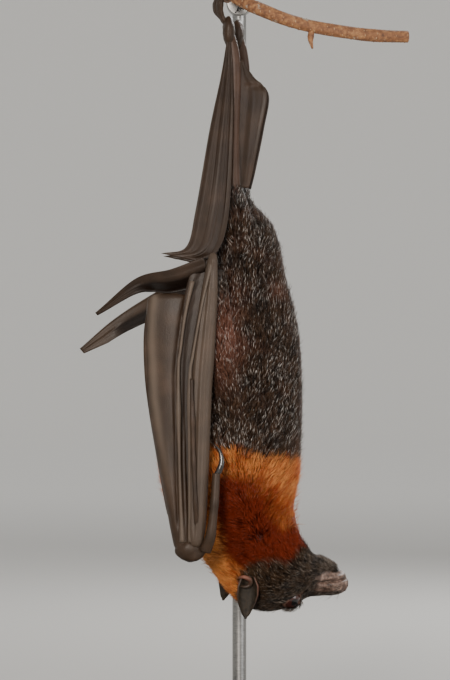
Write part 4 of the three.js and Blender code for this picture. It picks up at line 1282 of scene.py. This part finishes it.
def limbCoat(path, radii, uRange, side, mapFrom, seed):
    # fur on a leg or arm, combed towards its end and thinner there
    rng = np.random.default_rng(seed)
    surface = limbSurface(path, radii)
    u, v = scatterOver(surface, uRange, (0, 1), lambda u: 0.8 * hairDensity(0 * u), 40, 24)
    root = surface(u, v)
    lie = unit(surface(np.minimum(u + 0.01, 1), v) - surface(np.maximum(u - 0.01, 0), v))
    normal = unit(root - surface(u, v + 0.5))
    length, none = coat["limbLength"], np.zeros(len(u))
    marks = coatMarks(rng, root + lie * coat["seenAt"] * length, root, none, none)
    places = np.stack([bakeMap["limbLeft"][side] + bakeMap["limbWide"] * v,
                       mapFrom + bakeMap["limbHigh"] * u], -1)
    fade = 1 - 0.75 * smooth(0.6, 1, u)
    return combedLocks(rng, root, normal, lie, length * (0.4 + 0.6 * fade), coat["limbDepth"] * fade,
                       hairWidth(0 * u), marks, places, rng.random(len(u)) < fade + 0.2)


def addCoat(name, locks, slot):
    settle(growLocks(name, *locks, finishes[coatFinishes[slot]]), slot)
    triangles = 10 * len(locks[2])
    print(name, triangles, "triangles")
    return triangles


allTriangles = sum(addCoat(name, trunkCoat(low, high, 100 + number), slot)
                   for number, (name, low, high, slot) in enumerate(coatParts))
for side, where in ((-1, "left"), (1, "right")):
    thigh = limbCoat(thighPath(side), legs["thighRadii"], (0, 1), side, bakeMap["thighFrom"], 300 + side)
    arm = limbCoat(upperArmPath(side), upperArmRadii, (0, 0.97), side, bakeMap["armFrom"], 310 + side)
    allTriangles += addCoat("coat_thigh_" + where, thigh, "body_coat")
    allTriangles += addCoat("coat_arm_" + where, arm, "body_coat")
print("coat made:", allTriangles, "triangles")


whiskers = {"perSide": 34, "chin": 22, "length": (7, 13), "chinShare": 0.7, "rise": 0.55, "width": 0.16,
            "sections": (15.6, 18.8), "padX": (43, 57), "padTop": 83, "padInner": 5, "chinX": 36, "chinZ": 90}


def whiskerLocks():
    # stiff single hairs on the whisker pads and the chin, standing well off the skin
    rng = np.random.default_rng(400)
    s, angle = np.meshgrid(np.linspace(*whiskers["sections"], 240),
                           np.linspace(0, 2 * math.pi, 360, endpoint=False), indexing="ij")
    x, y, z = np.moveaxis(trunkSkin(s, angle, turned=False), -1, 0)
    low, high = whiskers["padX"]
    pad = (x > low) & (x < high) & (z < whiskers["padTop"]) & (np.abs(y) > whiskers["padInner"])
    chin = (x > whiskers["chinX"]) & (z > whiskers["chinZ"])
    picked = np.concatenate([rng.choice(np.flatnonzero(pad), 2 * whiskers["perSide"], replace=False),
                             rng.choice(np.flatnonzero(chin), whiskers["chin"], replace=False)])
    s, angle, height = (a.ravel()[picked] for a in (s, angle, z))
    root = trunkSkin(s, angle)
    normal = unit(root - trunkSkin(s, angle + math.pi))
    backwards = unit(trunkSkin(s - 0.2, angle) - root)
    onChin = height > whiskers["chinZ"]
    length = rng.uniform(*whiskers["length"], len(s)) * np.where(onChin, whiskers["chinShare"], 1)
    lie = backwards + rng.normal(0, 0.25, root.shape)
    marks = {name: np.zeros(len(s)) for name in ("mantle", "rust", "warm", "frost")}
    marks.update(face=np.ones(len(s)), grizzle=rng.uniform(0.2, 0.9, len(s)), tint=np.full(len(s), 0.5))
    width = np.full(len(s), whiskers["width"])
    return combedLocks(rng, root, normal, lie, length, whiskers["rise"] * length, width, marks,
                       trunkPlaces(s, angle))


addCoat("whiskers", whiskerLocks(), "face_coat")
bpy.data.objects.remove(lockPiece)

claws = {"toeRadii": [1.15, 1.15, 1.0, 0.75, 0.42, 0.12], "toeThin": 0.7, "thumbThin": 0.72,
         "thumbPath": [(-13.1, 48.5, 143.2), (-11.2, 48.7, 146.6), (-10.0, 48.6, 151), (-11, 48, 156.4),
                       (-14.4, 47, 160.8)],
         "thumbRadii": [1.6, 1.75, 1.5, 1.15, 0.65, 0.12]}


def clawShell(path, radii, thin, steps=26, sides=14):
    # a hooked claw, narrower from side to side than it is deep
    surface = limbSurface(path, radii)
    middle = limbSurface(path, [0.0] * len(radii))

    def narrowed(u, v):
        centre = middle(u, v)
        return centre + (surface(u, v) - centre) * (1, thin, 1)

    return tubeShell(narrowed, steps, sides)


for side, where in ((-1, "left"), (1, "right")):
    centre = eyeCentre(side)
    ball = egg(centre, [eye["radius"]] * 3, 40, 56)
    ball["marks"] = {"pupil": smooth(0.905, 0.925, unit(ball["verts"] - centre) @ eyeGaze(side))}
    ball["verts"] = turnedHead(ball["verts"], np.ones(len(ball["verts"])))
    settle(makePiece("eye_ball_" + where, ball, ["eyeWet"]), "eye", "eye_" + where)
for side, where in ((-1, "left"), (1, "right")):
    hooks = joinShells([clawShell(toePath(side, offset)[1], claws["toeRadii"], claws["toeThin"])
                        for offset in range(-2, 3)])
    settle(makePiece("toe_claws_" + where, hooks, ["clawHorn"]), "claw")
    hook = clawShell(sided(claws["thumbPath"], side), claws["thumbRadii"], claws["thumbThin"], 40, 20)
    settle(makePiece("thumb_hook_" + where, hook, ["clawHorn"]), "claw", "thumb_claw_" + where)
print("eyes and claws made")


def barkShape(u, v):
    # knobbly young bark with lengthwise ridges
    swell = curveAt(np.array(twig["swell"])[:, None], u)[..., 0]
    spot = np.stack([np.cos(2 * math.pi * v) * 3, np.sin(2 * math.pi * v) * 3, u * 60], -1)
    ridges = np.sin(2 * math.pi * v * 7 + 5 * np.sin(u * 14))
    return swell * (1 + 0.035 * softNoise(spot, 2.4, 71) + 0.02 * ridges)


def growPoresTree():
    # lenticels: small raised pores, spread over the bark and lying across it
    tree, given, close = newTree("growPores", [("Bark", "Geometry"), ("Per square metre", "Float"),
                                               ("Length", "Float"), ("Seed", "Int"), ("Finish", "Material")])
    spots = addNode(tree, "GeometryNodeDistributePointsOnFaces", {"distribute_method": "POISSON"}, {
        "Mesh": given["Bark"], "Density Max": given["Per square metre"], "Distance Min": given["Length"],
        "Seed": given["Seed"]}).node
    bead = addNode(tree, "GeometryNodeMeshIcoSphere", None, {"Radius": 0.5, "Subdivisions": 2})
    shape = addNode(tree, "ShaderNodeCombineXYZ", None, {"X": 0.45, "Y": 1.0, "Z": 0.3})
    long = addNode(tree, "ShaderNodeVectorMath", {"operation": "SCALE"}, {0: shape, "Scale": given["Length"]})
    spread = addNode(tree, "FunctionNodeRandomValue", {"data_type": "FLOAT"},
                     {"Min": 0.5, "Max": 1.3, "Seed": given["Seed"]}, "Value")
    size = addNode(tree, "ShaderNodeVectorMath", {"operation": "SCALE"}, {0: long, "Scale": spread})
    points, rotation = (spots.outputs[name] for name in ("Points", "Rotation"))
    return close(addNode(tree, "GeometryNodeInstanceOnPoints", None, {
        "Points": points, "Instance": bead, "Rotation": rotation, "Scale": size}))


branch = tubeShell(limbSurface(twig["route"], [twig["radius"]] * 2, barkShape), 300, 36)
branch["marks"] = {"sawn": np.concatenate([np.zeros(len(branch["verts"]) - 2), [1.0, 1.0]])}
bud = tubeShell(limbSurface(twig["bud"], twig["budRadii"]), 20, 12)
branchPiece = makePiece("perch_branch", joinShells([branch, bud]), ["youngBark"])
pores = grownPiece("perch_pores", branchPiece, growPoresTree(), {
    "Per square metre": twig["poresPerSquareMetre"], "Length": twig["poreLength"] * mm,
    "Seed": twig["poreSeed"], "Finish": finishes["corkyPore"]})
settle(branchPiece, "bark", "perch_rear", "perch_front", "perch_bud")
settle(pores, "bark")

standParts = [  # node, finish, slot, lies along y, bevel
    ("stand_base", "powderCoat", "stand_base", False, 2.0),
    ("stand_rod", "brushedSteel", "stand_steel", False, 0.3),
    ("stand_clamp", "brushedSteel", "stand_steel", True, 0.6),
]


def turnedDrum(size, middle, alongY, bevel):
    # a round or oval drum that fills the box of the CAD node, with a small bevel and tight loops beside it
    across = np.array([size[0] / 2, size[2 if alongY else 1] / 2])
    length = size[1 if alongY else 2]
    foot = [(1.2 * bevel + 1, 0), (bevel + 0.1, 0), (bevel, 0), (0.3 * bevel, 0.3 * bevel), (0, bevel),
            (0, bevel + 0.1)]  # inset from the rim, and height
    profile = np.array(foot + [(inset, length - height) for inset, height in reversed(foot)])

    def surface(u, v):
        spot = u * (len(profile) - 1)
        inset, height = (np.interp(spot, np.arange(len(profile)), profile[:, k]) for k in (0, 1))
        a = (across[0] - inset) * np.cos(2 * math.pi * v)
        b = (across[1] - inset) * np.sin(2 * math.pi * v)
        return np.stack([a, height - length / 2, b] if alongY else [a, b, height - length / 2], -1) + middle

    return tubeShell(surface, len(profile) - 1, 128)


for name, finishName, slot, alongY, bevel in standParts:
    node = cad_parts[name]
    corners = np.array([node.matrix_world @ mathutils.Vector(corner) for corner in node.bound_box]) / mm
    low, high = corners.min(0), corners.max(0)
    drum = turnedDrum(high - low, (low + high) / 2, alongY, bevel)
    settle(makePiece(name + "_smooth", drum, [finishName]), slot, name)
print("perch and stand made")


# The studio is in metres: a round floor that curves up all round, three lamps and a long lens.
studio = {"centreX": -0.00825, "centreZ": 0.217, "distance": 2.4, "nearY": -0.02, "pictureHeight": 0.374,
          "sensorHeight": 36, "floorRadius": 7, "curve": 1.5, "wallHeight": 3.0, "turns": 96,
          "paper": "#b9b7b3", "wall": "#fdfcfa", "world": "#f2f1ee", "worldStrength": 0.6,
          "aim": (-0.01, 0, 0.22)}
lamps = [  # name, place, size, power, tone
    ("keyLight", (-0.4, -2.1, 0.7), 0.45, 32, "#fff6ec"), ("fillLight", (1.5, -1.2, 0.5), 1.2, 12, "#ffffff"),
    ("rimLight", (0.6, 1.1, 1.0), 0.7, 16, "#ffffff"),
]


def sweepShell():
    radius, curve, count = studio["floorRadius"], studio["curve"], studio["turns"]
    profile = [(r, 0.0) for r in (0.02, 1, 2.5, radius)]
    profile += [(radius + curve * math.sin(a), curve - curve * math.cos(a))
                for a in np.linspace(0.1, math.pi / 2, 16)]
    profile.append((radius + curve, studio["wallHeight"]))
    turns = np.linspace(0, 2 * math.pi, count, endpoint=False)
    points = np.array([[(r * math.cos(a), r * math.sin(a), z) for a in turns] for r, z in profile])
    return {"verts": points.reshape(-1, 3) / mm, "quads": gridQuads(len(profile), count, True)[:, ::-1],
            "tris": np.array([[0, i, i + 1] for i in range(1, count - 1)])}


def paperFinish():
    # matt seamless paper, paler where the lamps reach less
    finish, tree, place = newFinish("studioPaper")
    fromCentre = addNode(tree, "ShaderNodeVectorMath", {"operation": "LENGTH"}, {0: place}, "Value")
    share = addNode(tree, "ShaderNodeMapRange", {"interpolation_type": "SMOOTHSTEP"},
                    {"Value": fromCentre, "From Min": 0.3, "From Max": 4.0})
    tone = addNode(tree, "ShaderNodeValToRGB", None, {"Fac": share})
    closeFinish(tree, rampSteps(tone, [(0.0, studio["paper"]), (1.0, studio["wall"])]), 0.9)
    return finish


finishes["studioPaper"] = paperFinish()
makePiece("floor", sweepShell(), ["studioPaper"])

for name, place, size, power, tone in lamps:
    lamp = bpy.data.lights.new(name, "AREA")
    lamp.shape, lamp.size, lamp.energy, lamp.color = "DISK", size, power, colour(tone)[:3]
    lampObject = placeObject(name, lamp)
    lampObject.location = place
    towards = np.array(studio["aim"]) - np.array(place)
    pitch = math.atan2(math.hypot(towards[0], towards[1]), -towards[2])
    lampObject.rotation_euler = (pitch, 0, math.atan2(-towards[0], towards[1]))

world = bpy.data.worlds.new("studioRoom")
world.use_nodes = True
background = world.node_tree.nodes["Background"]
background.inputs["Color"].default_value = colour(studio["world"])
background.inputs["Strength"].default_value = studio["worldStrength"]
bpy.context.scene.world = world

lens = bpy.data.cameras.new("studioCamera")
lens.sensor_fit, lens.sensor_height = "VERTICAL", studio["sensorHeight"]
lens.lens = studio["sensorHeight"] * studio["distance"] / studio["pictureHeight"]
lens.clip_end = 20
camera = placeObject("studioCamera", lens)
camera.location = (studio["centreX"], studio["nearY"] - studio["distance"], studio["centreZ"])
camera.rotation_euler = (math.pi / 2, 0, 0)
bpy.context.scene.camera = camera

print("scene ready")
